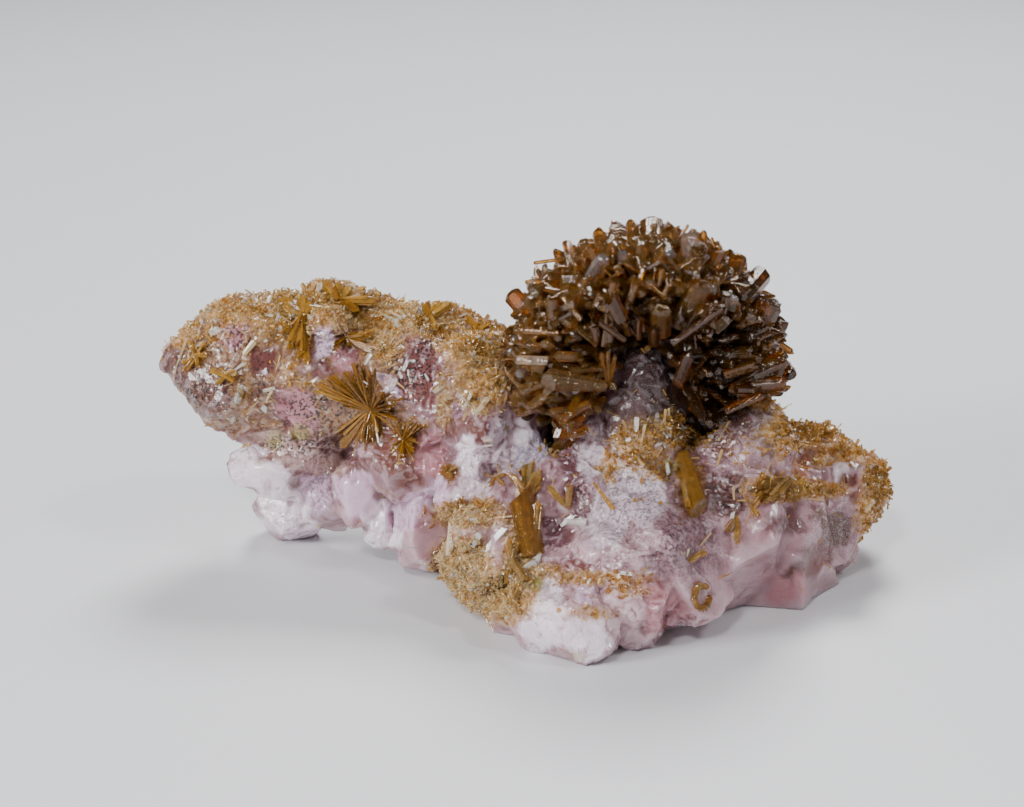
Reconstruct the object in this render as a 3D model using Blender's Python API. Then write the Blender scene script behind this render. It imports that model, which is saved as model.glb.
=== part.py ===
"""Eosphorite on rose quartz, a hand-sized mineral specimen about 74 mm long.

The matrix is one intergrown mass of pale rose quartz: a long wing that points left, white
lobes under it, a heavy right half, and a dark spike in the middle. A rosette of brown
eosphorite prisms stands on it, and smaller sprays and single prisms grow on its show side.
The matrix is cut off flat where it rests.

Row frame: +X to the right of the show side, +Y to the back, +Z up, z = 0 at the rest.
"""

import math

import bmesh
import bpy
import numpy as np
from mathutils import Matrix, Vector
from mathutils.bvhtree import BVHTree

MM = 0.001

# The show side is sketched as it is seen, in millimetres across and up at the specimen's
# middle, from VIEW_DISTANCE in front of it and VIEW_TILT above the horizon. Back is depth.
VIEW_DISTANCE = 220.0
VIEW_TILT = math.radians(20)
CENTRING = Vector((0.15, -0.85, 0.0))
AIM = Vector((-1.2, 0.0, 19.8)) + CENTRING
SIGHT_ACROSS = -1.2
SIGHT_UP = 25.95
FORWARD = Vector((0, math.cos(VIEW_TILT), -math.sin(VIEW_TILT)))
UPWARD = Vector((0, math.sin(VIEW_TILT), math.cos(VIEW_TILT)))
ACROSS = Vector((1, 0, 0))
EYE = AIM - FORWARD * VIEW_DISTANCE

CLEARANCE = 0.3
ROOM = 60.0

ROSETTE_MIDDLE = (12.2, 29.5, 3.0)
ROSETTE_RADIUS = 15.2
ROSETTE_CORE = 8.6
ROSETTE_PRISMS = 176
PRISM_WIDTH = 2.2

# Lumps of the matrix: across, up, back, then half their width, height and depth, and a turn.
WING = (
    (-26.0, 28.6, 12.0, 5.8, 7.2, 6.5, -10),
    (-19.0, 28.6, 10.5, 7.6, 8.2, 7.5, 0),
    (-10.8, 27.4, 8.5, 8.2, 8.2, 8.0, 8),
    (-4.0, 25.6, 6.5, 6.6, 8.0, 8.5, 0),
    (-23.6, 34.2, 14.0, 2.9, 2.8, 3.6, 10),
    (-19.3, 34.6, 14.0, 3.4, 3.0, 4.0, 0),
    (-15.2, 34.2, 13.0, 3.2, 2.7, 4.0, 20),
    (-11.6, 33.2, 12.5, 2.9, 2.8, 4.0, -15),
    (-8.0, 32.8, 12.0, 2.8, 2.7, 4.0, 10),
    (-5.0, 31.2, 11.0, 2.7, 2.8, 4.0, 0),
)
WHITE_LOBES = (
    (-26.9, 19.7, 7.5, 2.6, 2.3, 3.5, 0),
    (-23.0, 19.8, 8.0, 5.0, 3.4, 4.5, -20),
    (-23.2, 15.6, 12.5, 3.8, 3.7, 4.6, 0),
    (-21.0, 16.6, 11.0, 3.0, 3.2, 3.8, 15),
    (-19.6, 17.2, 8.5, 3.2, 3.4, 4.0, 0),
    (-18.6, 14.4, 9.5, 1.3, 1.6, 2.0, 0),
    (-15.6, 17.6, 6.5, 3.8, 4.2, 4.5, 30),
    (-14.3, 14.2, 5.5, 2.0, 2.9, 3.0, 0),
    (-9.9, 14.0, 3.5, 3.2, 4.8, 5.0, 0),
    (-10.9, 20.1, 4.5, 5.5, 4.6, 6.0, 0),
)
MIDDLE = (
    (-2.6, 11.6, -4.5, 5.0, 6.8, 7.0, 20),
    (-0.4, 6.2, -8.5, 3.8, 3.3, 6.0, 0),
    (-5.3, 20.2, 1.0, 2.4, 2.8, 3.5, 0),
    (-0.9, 21.1, 2.0, 3.2, 3.6, 4.0, 0),
    (6.5, 20.6, 0.5, 1.8, 3.2, 3.0, 0),
    (3.6, 13.3, -2.5, 6.0, 8.0, 8.0, 0),
    (2.3, 5.8, -12.5, 3.7, 4.3, 5.5, 0),
    (5.8, 4.3, -14.0, 4.4, 3.9, 6.0, 0),
    (10.2, 6.6, -12.5, 4.8, 4.2, 6.0, 25),
    (9.6, 9.0, -9.5, 8.0, 5.6, 8.0, 0),
    (12.6, 10.9, -8.0, 7.6, 6.4, 8.0, 30),
)
RIGHT_HALF = (
    (17.6, 13.6, -2.5, 8.6, 7.8, 9.0, 0),
    (23.6, 13.0, 1.0, 7.2, 7.4, 9.0, 0),
    (29.4, 16.4, 5.5, 5.6, 6.2, 7.5, 0),
    (32.0, 17.0, 8.0, 4.0, 4.4, 6.0, 0),
    (24.6, 9.8, 0.5, 6.8, 4.0, 7.0, 15),
    (28.8, 12.2, 4.5, 4.0, 3.8, 5.0, 30),
    (22.0, 20.0, 4.0, 4.6, 4.8, 6.0, 0),
    (28.2, 20.7, 8.0, 3.8, 2.9, 4.5, -20),
)
BACK = (
    (12.6, 23.3, 10.0, 9.0, 8.0, 7.5, 0),
    (6.0, 11.5, 3.0, 9.0, 6.0, 9.0, 0),
    (20.0, 13.0, 7.5, 9.0, 7.0, 9.0, 0),
    (0.0, 20.3, 13.0, 8.0, 8.0, 6.5, 0),
    (-8.0, 23.5, 15.0, 7.0, 7.0, 5.5, 0),
    (-17.0, 27.5, 16.0, 7.0, 7.0, 4.5, 0),
    (25.0, 18.3, 12.5, 6.5, 6.0, 6.5, 0),
)

# Small crystals that stand out of the bigger lumps as ledges.
LEDGES_ON_LUMP = 1.15
LEDGE_SIZE = (1.7, 2.9)

# Eosphorite on the show side. A tip or a foot is across, up and its lift off the matrix.
STARBURST_FOOT = (-15.0, 24.6, 0.2)
STARBURST_TIPS = (
    ((-18.2, 21.6, 1.6), 1.3, 0.9),
    ((-15.8, 22.0, 1.8), 1.1, 0.8),
    ((-14.4, 21.9, 1.9), 1.1, 0.8),
    ((-19.6, 27.0, 1.2), 1.2, 0.8),
    ((-17.0, 28.2, 1.5), 1.3, 0.9),
    ((-14.2, 28.0, 1.8), 1.3, 0.9),
    ((-12.2, 26.6, 1.6), 1.1, 0.8),
    ((-11.4, 23.4, 1.4), 1.3, 1.0),
    ((-10.6, 20.8, 1.3), 1.2, 0.9),
)
RIDGE_FOOT = (-21.2, 33.2, 0.2)
RIDGE_TIPS = (
    ((-25.2, 36.4, 1.2), 1.3, 1.0),
    ((-22.6, 37.4, 1.6), 1.3, 1.0),
    ((-19.4, 38.0, 1.6), 1.7, 1.3),
    ((-16.6, 36.8, 1.6), 1.6, 1.2),
    ((-19.2, 31.4, 1.6), 1.2, 0.9),
    ((-21.0, 29.2, 1.4), 1.2, 0.9),
    ((-23.6, 31.8, 1.4), 1.2, 0.9),
)
CENTRE_FOOT = (0.0, 17.6, 0.4)
CENTRE_TIPS = (
    ((1.3, 10.6, 1.8), 2.4, 1.7),
    ((-0.3, 18.9, 1.8), 1.7, 1.2),
    ((1.5, 19.3, 1.6), 1.3, 1.0),
    ((3.4, 12.2, 1.2), 1.1, 0.8),
    ((4.2, 17.8, 1.4), 1.2, 0.8),
)
GROOVE_FOOT = (23.6, 17.4, 0.3)
GROOVE_TIPS = (
    ((26.9, 17.2, 1.5), 1.5, 1.1),
    ((22.8, 15.2, 1.4), 1.2, 0.9),
    ((25.6, 18.4, 1.4), 1.2, 0.9),
)
HANGING_FOOT = (4.6, 25.2, 0.6)
HANGING_TIPS = (
    ((3.0, 19.9, 2.0), 1.7, 1.2),
    ((5.9, 23.0, 1.8), 1.2, 0.9),
    ((2.0, 22.6, 1.9), 1.2, 0.9),
)
# Single prisms: foot, tip, width, thickness.
SINGLES = {
    "stout_prism": ((15.4, 18.6, 0.0), (17.8, 14.5, 1.2), 2.2, 1.5),
    "gold_blade": ((-28.2, 27.3, 0.0), (-29.2, 24.3, 1.7), 1.5, 1.0),
    "brown_prism": ((21.3, 15.1, 0.0), (21.1, 11.9, 1.1), 0.9, 0.7),
    "olive_blade": ((16.4, 10.1, 0.0), (18.4, 10.9, 1.0), 0.9, 0.6),
}
RING_CENTRE = (17.9, 6.9, 0.7)
RING_SIZE = (0.7, 1.1)
RING_THICKNESS = 0.8

ROSE = (0.80, 0.66, 0.68, 1)
BROWN = (0.33, 0.20, 0.08, 1)
GOLD = (0.55, 0.40, 0.20, 1)


def clear_scene():
    for obj in list(bpy.data.objects):
        bpy.data.objects.remove(obj)


def sight_line(across, up):
    """Direction of the line of sight through a point of the sketch."""
    side = (across - SIGHT_ACROSS) / VIEW_DISTANCE
    rise = (up - SIGHT_UP) / VIEW_DISTANCE
    return FORWARD + ACROSS * side + UPWARD * rise


def seen(across, up, back):
    """The point, in millimetres, that shows at (across, up) and lies at depth back."""
    line = sight_line(across, up)
    return EYE + line * ((back + CENTRING.y - EYE.y) / line.y)


def finish(name, colour, roughness):
    material = bpy.data.materials.new(name)
    material.use_nodes = True
    shader = material.node_tree.nodes["Principled BSDF"]
    shader.inputs["Base Color"].default_value = colour
    shader.inputs["Roughness"].default_value = roughness
    shader.inputs["Metallic"].default_value = 0.0
    return material


# A crystal is convex, so it is kept as its faces' planes: (outward normal, point on it).
def lump(across, up, back, wide, high, deep, turn, seed):
    """A blocky crystal lump with about fourteen flat faces round an ellipsoid."""
    rng = np.random.default_rng(seed)
    centre = seen(across, up, back)
    roll = Matrix.Rotation(math.radians(turn), 3, FORWARD)
    planes = []
    count = 15
    for i in range(count):
        rise = 1 - 2 * (i + 0.5) / count
        angle = i * math.pi * (3 - math.sqrt(5)) + rng.uniform(-0.35, 0.35) + seed
        ring = math.sqrt(1 - rise * rise)
        local = Vector((ring * math.cos(angle), ring * math.sin(angle), rise))
        local += Vector(rng.uniform(-0.22, 0.22, 3))
        local.normalize()
        reach = Vector((local.x * wide, local.y * deep, local.z * high))
        normal = Vector((local.x / wide, local.y / deep, local.z / high)).normalized()
        axes = Matrix((ACROSS, -FORWARD.cross(ACROSS).cross(ACROSS), UPWARD)).transposed()
        axes.col[1] = FORWARD
        turned = roll @ axes
        planes.append((turned @ normal, centre + turned @ reach * rng.uniform(0.88, 1.0)))
    return planes, centre


def point_crystal(base, tip, width, thick, slope=1.2, taper=0.0, roll=0.0):
    """A six-sided prism from base to tip that ends in a six-faced pyramid."""
    axis = (tip - base).normalized()
    side = axis.cross(FORWARD).normalized()
    front = side.cross(axis).normalized()
    planes = [(-axis, base)]
    for i in range(6):
        angle = math.radians(60 * i + roll)
        out = side * math.cos(angle) + front * math.sin(angle)
        reach = math.hypot(math.cos(angle) * width / 2, math.sin(angle) * thick / 2)
        wall = (out + axis * taper).normalized()
        planes.append((wall, base + out * reach))
        cap = (out + axis * slope * (0.85 + 0.3 * (i % 2))).normalized()
        planes.append((cap, tip))
    return planes, (base + tip) / 2


def faced_block(corners, thickness, flare=0.25):
    """A block whose front face has these corners, given anticlockwise as seen."""
    points = [seen(*corner) for corner in corners]
    middle = sum(points, Vector()) / len(points)
    normal = Vector()
    for a, b in zip(points, points[1:] + points[:1]):
        normal += (a - middle).cross(b - middle)
    normal.normalize()
    if normal.dot(FORWARD) > 0:
        normal = -normal
    front = max((p - middle).dot(normal) for p in points) * 0.5
    planes = [(normal, middle + normal * front), (-normal, middle - normal * thickness)]
    for a, b in zip(points, points[1:] + points[:1]):
        out = (b - a).cross(normal).normalized()
        if out.dot(a - middle) < 0:
            out = -out
        planes.append(((out + normal * flare).normalized(), (a + b) / 2))
    return planes, middle - normal * thickness / 2


def prism(base, tip, width, thick, turn=0.0, bevelled=True):
    """A stout eosphorite prism with a chisel end, its long edges bevelled or sharp."""
    axis = (tip - base).normalized()
    helper = UPWARD if abs(axis.dot(UPWARD)) < 0.9 else ACROSS
    side = axis.cross(helper).normalized()
    side = Matrix.Rotation(turn, 3, axis) @ side
    front = axis.cross(side)
    planes = [(-axis, base)]
    for sign in (-1, 1):
        planes.append((side * sign, base + side * sign * width / 2))
        planes.append((front * sign, base + front * sign * thick / 2))
        if bevelled:
            corner = (side * sign + front * 0.9).normalized()
            planes.append((corner, base + corner * 0.25 * (width + thick)))
        planes.append(((axis + side * sign * 0.85).normalized(), tip))
        planes.append(((axis * 1.7 + front * sign).normalized(), tip + axis * 0.12 * width))
    return planes, (base + tip) / 2


def solid(planes, centre, grow=0.0):
    """The closed convex mesh inside the planes, each moved out by grow."""
    bm = bmesh.new()
    bmesh.ops.create_cube(bm, size=2 * ROOM, matrix=Matrix.Translation(centre))
    for normal, on_face in planes:
        geometry = bm.verts[:] + bm.edges[:] + bm.faces[:]
        cut = bmesh.ops.bisect_plane(
            bm,
            geom=geometry,
            dist=1e-5,
            plane_co=on_face + normal * grow,
            plane_no=normal,
            clear_outer=True,
        )
        rim = [e for e in cut["geom_cut"] if isinstance(e, bmesh.types.BMEdge) and e.is_boundary]
        if len(rim) > 2:
            bmesh.ops.contextual_create(bm, geom=rim)
    bmesh.ops.remove_doubles(bm, verts=bm.verts, dist=1e-4)
    bmesh.ops.recalc_face_normals(bm, faces=bm.faces)
    bmesh.ops.scale(bm, vec=(MM, MM, MM), verts=bm.verts)
    mesh = bpy.data.meshes.new("crystal")
    bm.to_mesh(mesh)
    bm.free()
    return mesh


def helper_object(name, mesh, collection):
    obj = bpy.data.objects.new(name, mesh)
    collection.objects.link(obj)
    obj.hide_render = True
    obj.display_type = "WIRE"
    return obj


def helper_collection(name, crystals, grow=0.0):
    collection = bpy.data.collections.new(name)
    bpy.context.scene.collection.children.link(collection)
    for i, crystal in enumerate(crystals):
        helper_object(f"{name}_{i}", solid(*crystal, grow), collection)
    return collection


def reach_of(mesh):
    points = np.array([v.co for v in mesh.vertices])
    return points.min(axis=0), points.max(axis=0)


def near(cutters, crystals):
    """A collection of the cutters whose boxes meet the box of these crystals."""
    points = [np.array(p) * MM for planes, _ in crystals for _, p in planes]
    low, high = np.min(points, axis=0), np.max(points, axis=0)
    collection = bpy.data.collections.new("near")
    bpy.context.scene.collection.children.link(collection)
    for mesh in cutters:
        bottom, top = reach_of(mesh)
        if (bottom < high).all() and (top > low).all():
            helper_object("near", mesh, collection)
    return collection


def drop_collection(collection):
    for obj in list(collection.objects):
        bpy.data.objects.remove(obj)
    bpy.data.collections.remove(collection)


def outer_skin(mesh):
    """Keeps the largest closed shell and fills the small voids that crystals shut in."""
    bm = bmesh.new()
    bm.from_mesh(mesh)
    bmesh.ops.remove_doubles(bm, verts=bm.verts, dist=2e-6)
    bmesh.ops.dissolve_degenerate(bm, dist=2e-6, edges=bm.edges)
    left = set(bm.faces)
    shells = []
    while left:
        seed = left.pop()
        shell = {seed}
        front = [seed]
        while front:
            face = front.pop()
            for edge in face.edges:
                for other in edge.link_faces:
                    if other in left:
                        left.discard(other)
                        shell.add(other)
                        front.append(other)
        shells.append(shell)
    shells.sort(key=len, reverse=True)
    stray = [face for shell in shells[1:] for face in shell]
    bmesh.ops.delete(bm, geom=stray, context="FACES")
    bmesh.ops.triangulate(bm, faces=bm.faces)
    bm.to_mesh(mesh)
    bm.free()
    return mesh


def fuse(name, crystals, material, cutters=None):
    """One solid: the union of the crystals, cut clear of the cutters."""
    first = bpy.data.objects.new(name, solid(*crystals[0]))
    bpy.context.scene.collection.objects.link(first)
    others = helper_collection(name + "_crystals", crystals[1:])
    if crystals[1:]:
        union = first.modifiers.new("union", "BOOLEAN")
        union.operation = "UNION"
        union.operand_type = "COLLECTION"
        union.collection = others
    if cutters:
        around = near(cutters, crystals)
        clear = first.modifiers.new("clear", "BOOLEAN")
        clear.operation = "DIFFERENCE"
        clear.operand_type = "COLLECTION"
        clear.solver = "MANIFOLD"
        clear.collection = around
    bpy.context.view_layer.update()
    evaluated = first.evaluated_get(bpy.context.evaluated_depsgraph_get())
    mesh = outer_skin(bpy.data.meshes.new_from_object(evaluated))
    first.modifiers.clear()
    first.data = mesh
    mesh.name = name
    mesh.materials.clear()
    mesh.materials.append(material)
    drop_collection(others)
    if cutters:
        drop_collection(around)
    return first


def ledges(row, seed):
    """Small crystals half sunk in the surface of one big lump."""
    rng = np.random.default_rng(seed)
    across, up, back, wide, high, deep, turn = row
    small = []
    for i in range(int(LEDGES_ON_LUMP * wide * high / 30 + rng.uniform())):
        way = rng.normal(size=3)
        way /= np.linalg.norm(way)
        size = rng.uniform(*LEDGE_SIZE)
        place = (across + way[0] * (wide - size * 0.5), up + way[2] * (high - size * 0.5))
        depth = back + way[1] * (deep - size * 0.5)
        shape = (size, size * rng.uniform(0.7, 1.1), size)
        small.append(lump(*place, depth, *shape, rng.uniform(-40, 40), seed * 10 + i))
    return small


def matrix_crystals():
    crystals = []
    for group, rows in enumerate((WING, WHITE_LOBES, MIDDLE, RIGHT_HALF, BACK)):
        for i, row in enumerate(rows):
            crystals.append(lump(*row, seed=100 * group + i + 1))
            crystals += ledges(row, 1000 + 100 * group + i)
    wing_tip = point_crystal(
        seen(-19.0, 28.9, 11.5), seen(-37.2, 30.5, 8.5), 14.0, 12.0, slope=0.95, roll=30
    )
    peak = point_crystal(
        seen(20.6, 15.5, -3.0), seen(24.6, 27.5, -1.0), 10.5, 9.0, slope=0.8, taper=0.1, roll=10
    )
    spike = point_crystal(
        seen(10.4, 20.0, -0.5), seen(12.4, 32.6, -2.0), 13.1, 12.5, slope=1.0, taper=0.4, roll=15
    )
    white_face = faced_block(
        (
            (9.3, 21.7, -5.0),
            (7.4, 17.6, -7.5),
            (5.6, 13.3, -10.5),
            (8.1, 9.7, -13.5),
            (12.8, 13.2, -12.5),
            (14.8, 17.6, -9.0),
        ),
        9.0,
    )
    return crystals + [wing_tip, peak, spike, white_face]


def make_matrix(crystals):
    matrix = fuse("rose_quartz", crystals, finish("rose_quartz", ROSE, 0.35))
    bm = bmesh.new()
    bm.from_mesh(matrix.data)
    bmesh.ops.bisect_plane(
        bm,
        geom=bm.verts[:] + bm.edges[:] + bm.faces[:],
        dist=1e-7,
        plane_co=(0, 0, 0),
        plane_no=(0, 0, -1),
        clear_outer=True,
    )
    rim = [e for e in bm.edges if e.is_boundary]
    bmesh.ops.triangle_fill(bm, edges=rim, use_beauty=True, normal=(0, 0, -1))
    bmesh.ops.triangulate(bm, faces=bm.faces)
    bmesh.ops.recalc_face_normals(bm, faces=bm.faces)
    bm.to_mesh(matrix.data)
    bm.free()
    return matrix


class ShowSide:
    """The matrix as it is met by a line of sight."""

    def __init__(self, matrix):
        bm = bmesh.new()
        bm.from_mesh(matrix.data)
        bmesh.ops.scale(bm, vec=(1 / MM, 1 / MM, 1 / MM), verts=bm.verts)
        self.tree = BVHTree.FromBMesh(bm)
        bm.free()

    def raised(self, across, up, lift, fallback=None):
        """The point seen at (across, up) that stands lift in front of the matrix."""
        line = sight_line(across, up).normalized()
        hit = self.tree.ray_cast(EYE, line)[0]
        if hit is None:
            hit = seen(across, up, fallback.y)
        return hit - line * lift


def rosette():
    """The big rosette: prisms that radiate from the foot of the spike, hollow in front."""
    rng = np.random.default_rng(7)
    middle = seen(*ROSETTE_MIDDLE)
    down_front = (-FORWARD * 0.8 - UPWARD * 0.75).normalized()
    across, up, back = ROSETTE_MIDDLE
    core = lump(across, up + 2, back + 3, ROSETTE_CORE, ROSETTE_CORE, ROSETTE_CORE, 0, 77)
    pieces = [core]
    for i in range(ROSETTE_PRISMS):
        rise = 1 - 2 * (i + 0.5) / ROSETTE_PRISMS
        angle = i * math.pi * (3 - math.sqrt(5))
        ring = math.sqrt(1 - rise * rise)
        way = Vector((ring * math.cos(angle), ring * math.sin(angle), rise))
        way = (way + Vector(rng.uniform(-0.09, 0.09, 3))).normalized()
        turn = rng.uniform(0, math.pi)
        reach = ROSETTE_RADIUS * rng.uniform(0.93, 1.04)
        width = PRISM_WIDTH * rng.uniform(0.8, 1.25)
        if way.dot(down_front) > 0.42 or way.z < -0.6:
            continue
        base = middle + way * 5.0
        pieces.append(prism(base, middle + way * reach, width, width * 0.7, turn))
    return pieces


def spray(show, foot, tips):
    """Prisms that fan out of one foot on the matrix."""
    root = show.raised(*foot)
    pieces = []
    for i, (tip, width, thick) in enumerate(tips):
        end = show.raised(*tip, root)
        start = root + (root - end).normalized() * 0.4
        pieces.append(prism(start, end, width, thick, 0.5 * i, bevelled=width > 1.6))
    return pieces


def ring(show):
    """A small crystal curled into a ring, as short prisms end to end."""
    middle = show.raised(*RING_CENTRE)
    count = 8
    points = []
    for i in range(count):
        angle = math.radians(20 + 320 * i / (count - 1))
        out = ACROSS * (math.cos(angle) * RING_SIZE[0]) + UPWARD * (math.sin(angle) * RING_SIZE[1])
        points.append(middle + out)
    pieces = []
    for a, b in zip(points, points[1:]):
        along = (b - a).normalized()
        pieces.append(prism(a - along * 0.2, b + along * 0.3, 2.2, RING_THICKNESS))
    return pieces


def main():
    clear_scene()
    crystals = matrix_crystals()
    matrix = make_matrix(crystals)
    show = ShowSide(matrix)
    cutters = [solid(*crystal, CLEARANCE) for crystal in crystals]
    brown = finish("eosphorite", BROWN, 0.2)
    gold = finish("pale_eosphorite", GOLD, 0.25)
    hanging = spray(show, HANGING_FOOT, HANGING_TIPS)
    fuse("eosphorite_rosette", rosette() + hanging, brown, cutters)
    fuse("left_starburst", spray(show, STARBURST_FOOT, STARBURST_TIPS), brown, cutters)
    fuse("ridge_spray", spray(show, RIDGE_FOOT, RIDGE_TIPS), brown, cutters)
    fuse("centre_prisms", spray(show, CENTRE_FOOT, CENTRE_TIPS), brown, cutters)
    fuse("groove_prisms", spray(show, GROOVE_FOOT, GROOVE_TIPS), brown, cutters)
    for name, (foot, tip, width, thick) in SINGLES.items():
        base = show.raised(*foot)
        body = prism(base, show.raised(*tip, base), width, thick)
        fuse(name, [body], gold if name == "gold_blade" else brown, cutters)
    fuse("curled_crystal", ring(show), brown, cutters)


main()
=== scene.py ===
# %% [markdown]
# # A brown rosette on rose quartz
#
# The object is a mineral specimen, about 76 mm long: a rosette of brown eosphorite prisms on a
# mass of pale rose quartz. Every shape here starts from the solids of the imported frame, which
# give the size and the place of everything, and gets the surface that the real crystals have.
#
# The lesson goes from the outside in: where the eye and the lamps are, then the stone and its
# colours, then one crystal and the rosette made of it, and last the small crystals on the stone.

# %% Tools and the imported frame
import math

import bpy
import mathutils.noise
import numpy as np
from mathutils import Matrix, Vector
from mathutils.bvhtree import BVHTree
from mathutils.kdtree import KDTree


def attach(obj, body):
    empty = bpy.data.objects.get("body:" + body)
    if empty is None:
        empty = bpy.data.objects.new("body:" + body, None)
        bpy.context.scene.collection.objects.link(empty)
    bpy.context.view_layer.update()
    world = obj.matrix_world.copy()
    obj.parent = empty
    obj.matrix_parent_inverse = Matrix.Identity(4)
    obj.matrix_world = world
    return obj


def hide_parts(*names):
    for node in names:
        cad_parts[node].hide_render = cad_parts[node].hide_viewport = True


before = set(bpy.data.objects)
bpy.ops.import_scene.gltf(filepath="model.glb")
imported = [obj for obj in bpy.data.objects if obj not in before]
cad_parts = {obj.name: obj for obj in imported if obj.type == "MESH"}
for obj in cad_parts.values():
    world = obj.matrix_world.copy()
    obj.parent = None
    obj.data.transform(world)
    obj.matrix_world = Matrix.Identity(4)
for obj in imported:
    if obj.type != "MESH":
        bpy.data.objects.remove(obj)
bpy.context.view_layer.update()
MM = 0.001
scene = bpy.context.scene
print("nodes:", sorted(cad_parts))

# %% [markdown]
# ## Where the eye stands
#
# The specimen is seen from a little above, 22 cm away. All places on its show side are given as
# they are seen from there, in a view 1024 wide and 807 high, where ten units are a millimetre at
# the specimen's middle. A line of sight through such a place meets the quartz, so whatever is
# put there sits on the stone.

# %% The camera and the lines of sight
VIEW_DISTANCE = 220.0
VIEW_TILT = math.radians(20)
VIEW_WIDTH, VIEW_HEIGHT = 1024, 807
UNITS_PER_MM = 10.0
SENSOR = 36.0
CENTRING = Vector((0.15, -0.85, 0.0))
AIM = Vector((-1.2, 0.0, 19.8)) + CENTRING
FORWARD = Vector((0, math.cos(VIEW_TILT), -math.sin(VIEW_TILT)))
UPWARD = Vector((0, math.sin(VIEW_TILT), math.cos(VIEW_TILT)))
ACROSS = Vector((1, 0, 0))
EYE = AIM - FORWARD * VIEW_DISTANCE


def sight_line(x, y):
    side = (x - VIEW_WIDTH / 2) / UNITS_PER_MM / VIEW_DISTANCE
    rise = (VIEW_HEIGHT / 2 - y) / UNITS_PER_MM / VIEW_DISTANCE
    return FORWARD + ACROSS * side + UPWARD * rise


def seen(x, y, back):
    """The point, in millimetres, that shows at (x, y) and lies at depth back."""
    line = sight_line(x, y)
    return EYE + line * ((back + CENTRING.y - EYE.y) / line.y)


def view_of(points):
    """Where points, in millimetres, show, and how deep they lie along the view."""
    rel = points - np.array(EYE)
    depth = rel @ np.array(FORWARD)
    x = VIEW_WIDTH / 2 + rel[:, 0] / depth * VIEW_DISTANCE * UNITS_PER_MM
    y = VIEW_HEIGHT / 2 - (rel @ np.array(UPWARD)) / depth * VIEW_DISTANCE * UNITS_PER_MM
    return np.stack([x, y], axis=1), depth


bpy.ops.object.select_all(action="DESELECT")
bpy.ops.object.camera_add(location=EYE * MM)
camera = bpy.context.object
camera.rotation_euler = FORWARD.to_track_quat("-Z", "Y").to_euler()
camera.data.sensor_width = SENSOR
camera.data.lens = SENSOR * VIEW_DISTANCE * UNITS_PER_MM / VIEW_WIDTH
camera.data.clip_start = 0.01
scene.camera = camera
print("lens:", round(camera.data.lens, 1), "mm")

# %% [markdown]
# ## Small tools for materials
#
# A material is a tree of nodes. These helpers add one node each and set or link its sockets, so
# that a recipe further down reads as one line for each thing that the eye sees. What several
# materials share is a node group, built once and placed in each with its own values.


# %% Node helpers
def material_of(name):
    """A new material, its tree and its Principled shader."""
    made = bpy.data.materials.new(name)
    made.use_nodes = True
    return made, made.node_tree, made.node_tree.nodes["Principled BSDF"]


def node(tree, kind, **settings):
    made = tree.nodes.new(kind)
    for key, value in settings.items():
        setattr(made, key, value)
    return made


def in_millimetres(tree):
    """Object coordinates scaled so that one unit is a millimetre."""
    place = node(tree, "ShaderNodeTexCoord")
    scale = node(tree, "ShaderNodeMapping")
    scale.inputs["Scale"].default_value = (1000, 1000, 1000)
    tree.links.new(place.outputs["Object"], scale.inputs["Vector"])
    return scale.outputs["Vector"]


def noise(tree, vector, scale, detail=3.0, roughness=0.5):
    made = node(tree, "ShaderNodeTexNoise")
    made.inputs["Scale"].default_value = scale
    made.inputs["Detail"].default_value = detail
    made.inputs["Roughness"].default_value = roughness
    tree.links.new(vector, made.inputs["Vector"])
    return made.outputs["Fac"]


def ramp(tree, value, low, high, least=0.0, most=1.0):
    """value stretched so that low becomes least and high becomes most."""
    made = node(tree, "ShaderNodeMapRange")
    made.inputs["From Min"].default_value = low
    made.inputs["From Max"].default_value = high
    made.inputs["To Min"].default_value = least
    made.inputs["To Max"].default_value = most
    tree.links.new(value, made.inputs["Value"])
    return made.outputs["Result"]


def maths(tree, operation, a, b):
    made = node(tree, "ShaderNodeMath", operation=operation)
    for socket, value in zip(made.inputs, (a, b)):
        if isinstance(value, (int, float)):
            socket.default_value = value
        else:
            tree.links.new(value, socket)
    return made.outputs["Value"]


def blend(tree, factor, a, b, mode="MIX"):
    made = node(tree, "ShaderNodeMix", data_type="RGBA", blend_type=mode)
    for key, value in ((0, factor), (6, a), (7, b)):
        socket = made.inputs[key]
        if isinstance(value, (int, float, tuple)):
            socket.default_value = value
        else:
            tree.links.new(value, socket)
    return made.outputs[2]


def stored(tree, name):
    return node(tree, "ShaderNodeAttribute", attribute_name=name).outputs["Fac"]


def new_group(name, inputs, output, kind):
    """A node group with named inputs and one named output, and its two end nodes."""
    group = bpy.data.node_groups.new(name, "ShaderNodeTree")
    for title, socket_type in inputs.items():
        group.interface.new_socket(title, in_out="INPUT", socket_type=socket_type)
    group.interface.new_socket(output, in_out="OUTPUT", socket_type=kind)
    return group, group.nodes.new("NodeGroupInput"), group.nodes.new("NodeGroupOutput")


def placed(tree, group, values):
    """The group's output in this material, with its inputs set or linked."""
    made = node(tree, "ShaderNodeGroup", node_tree=group)
    for title, value in values.items():
        if isinstance(value, (int, float, tuple)):
            made.inputs[title].default_value = value
        else:
            tree.links.new(value, made.inputs[title])
    return made.outputs[0]


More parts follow.
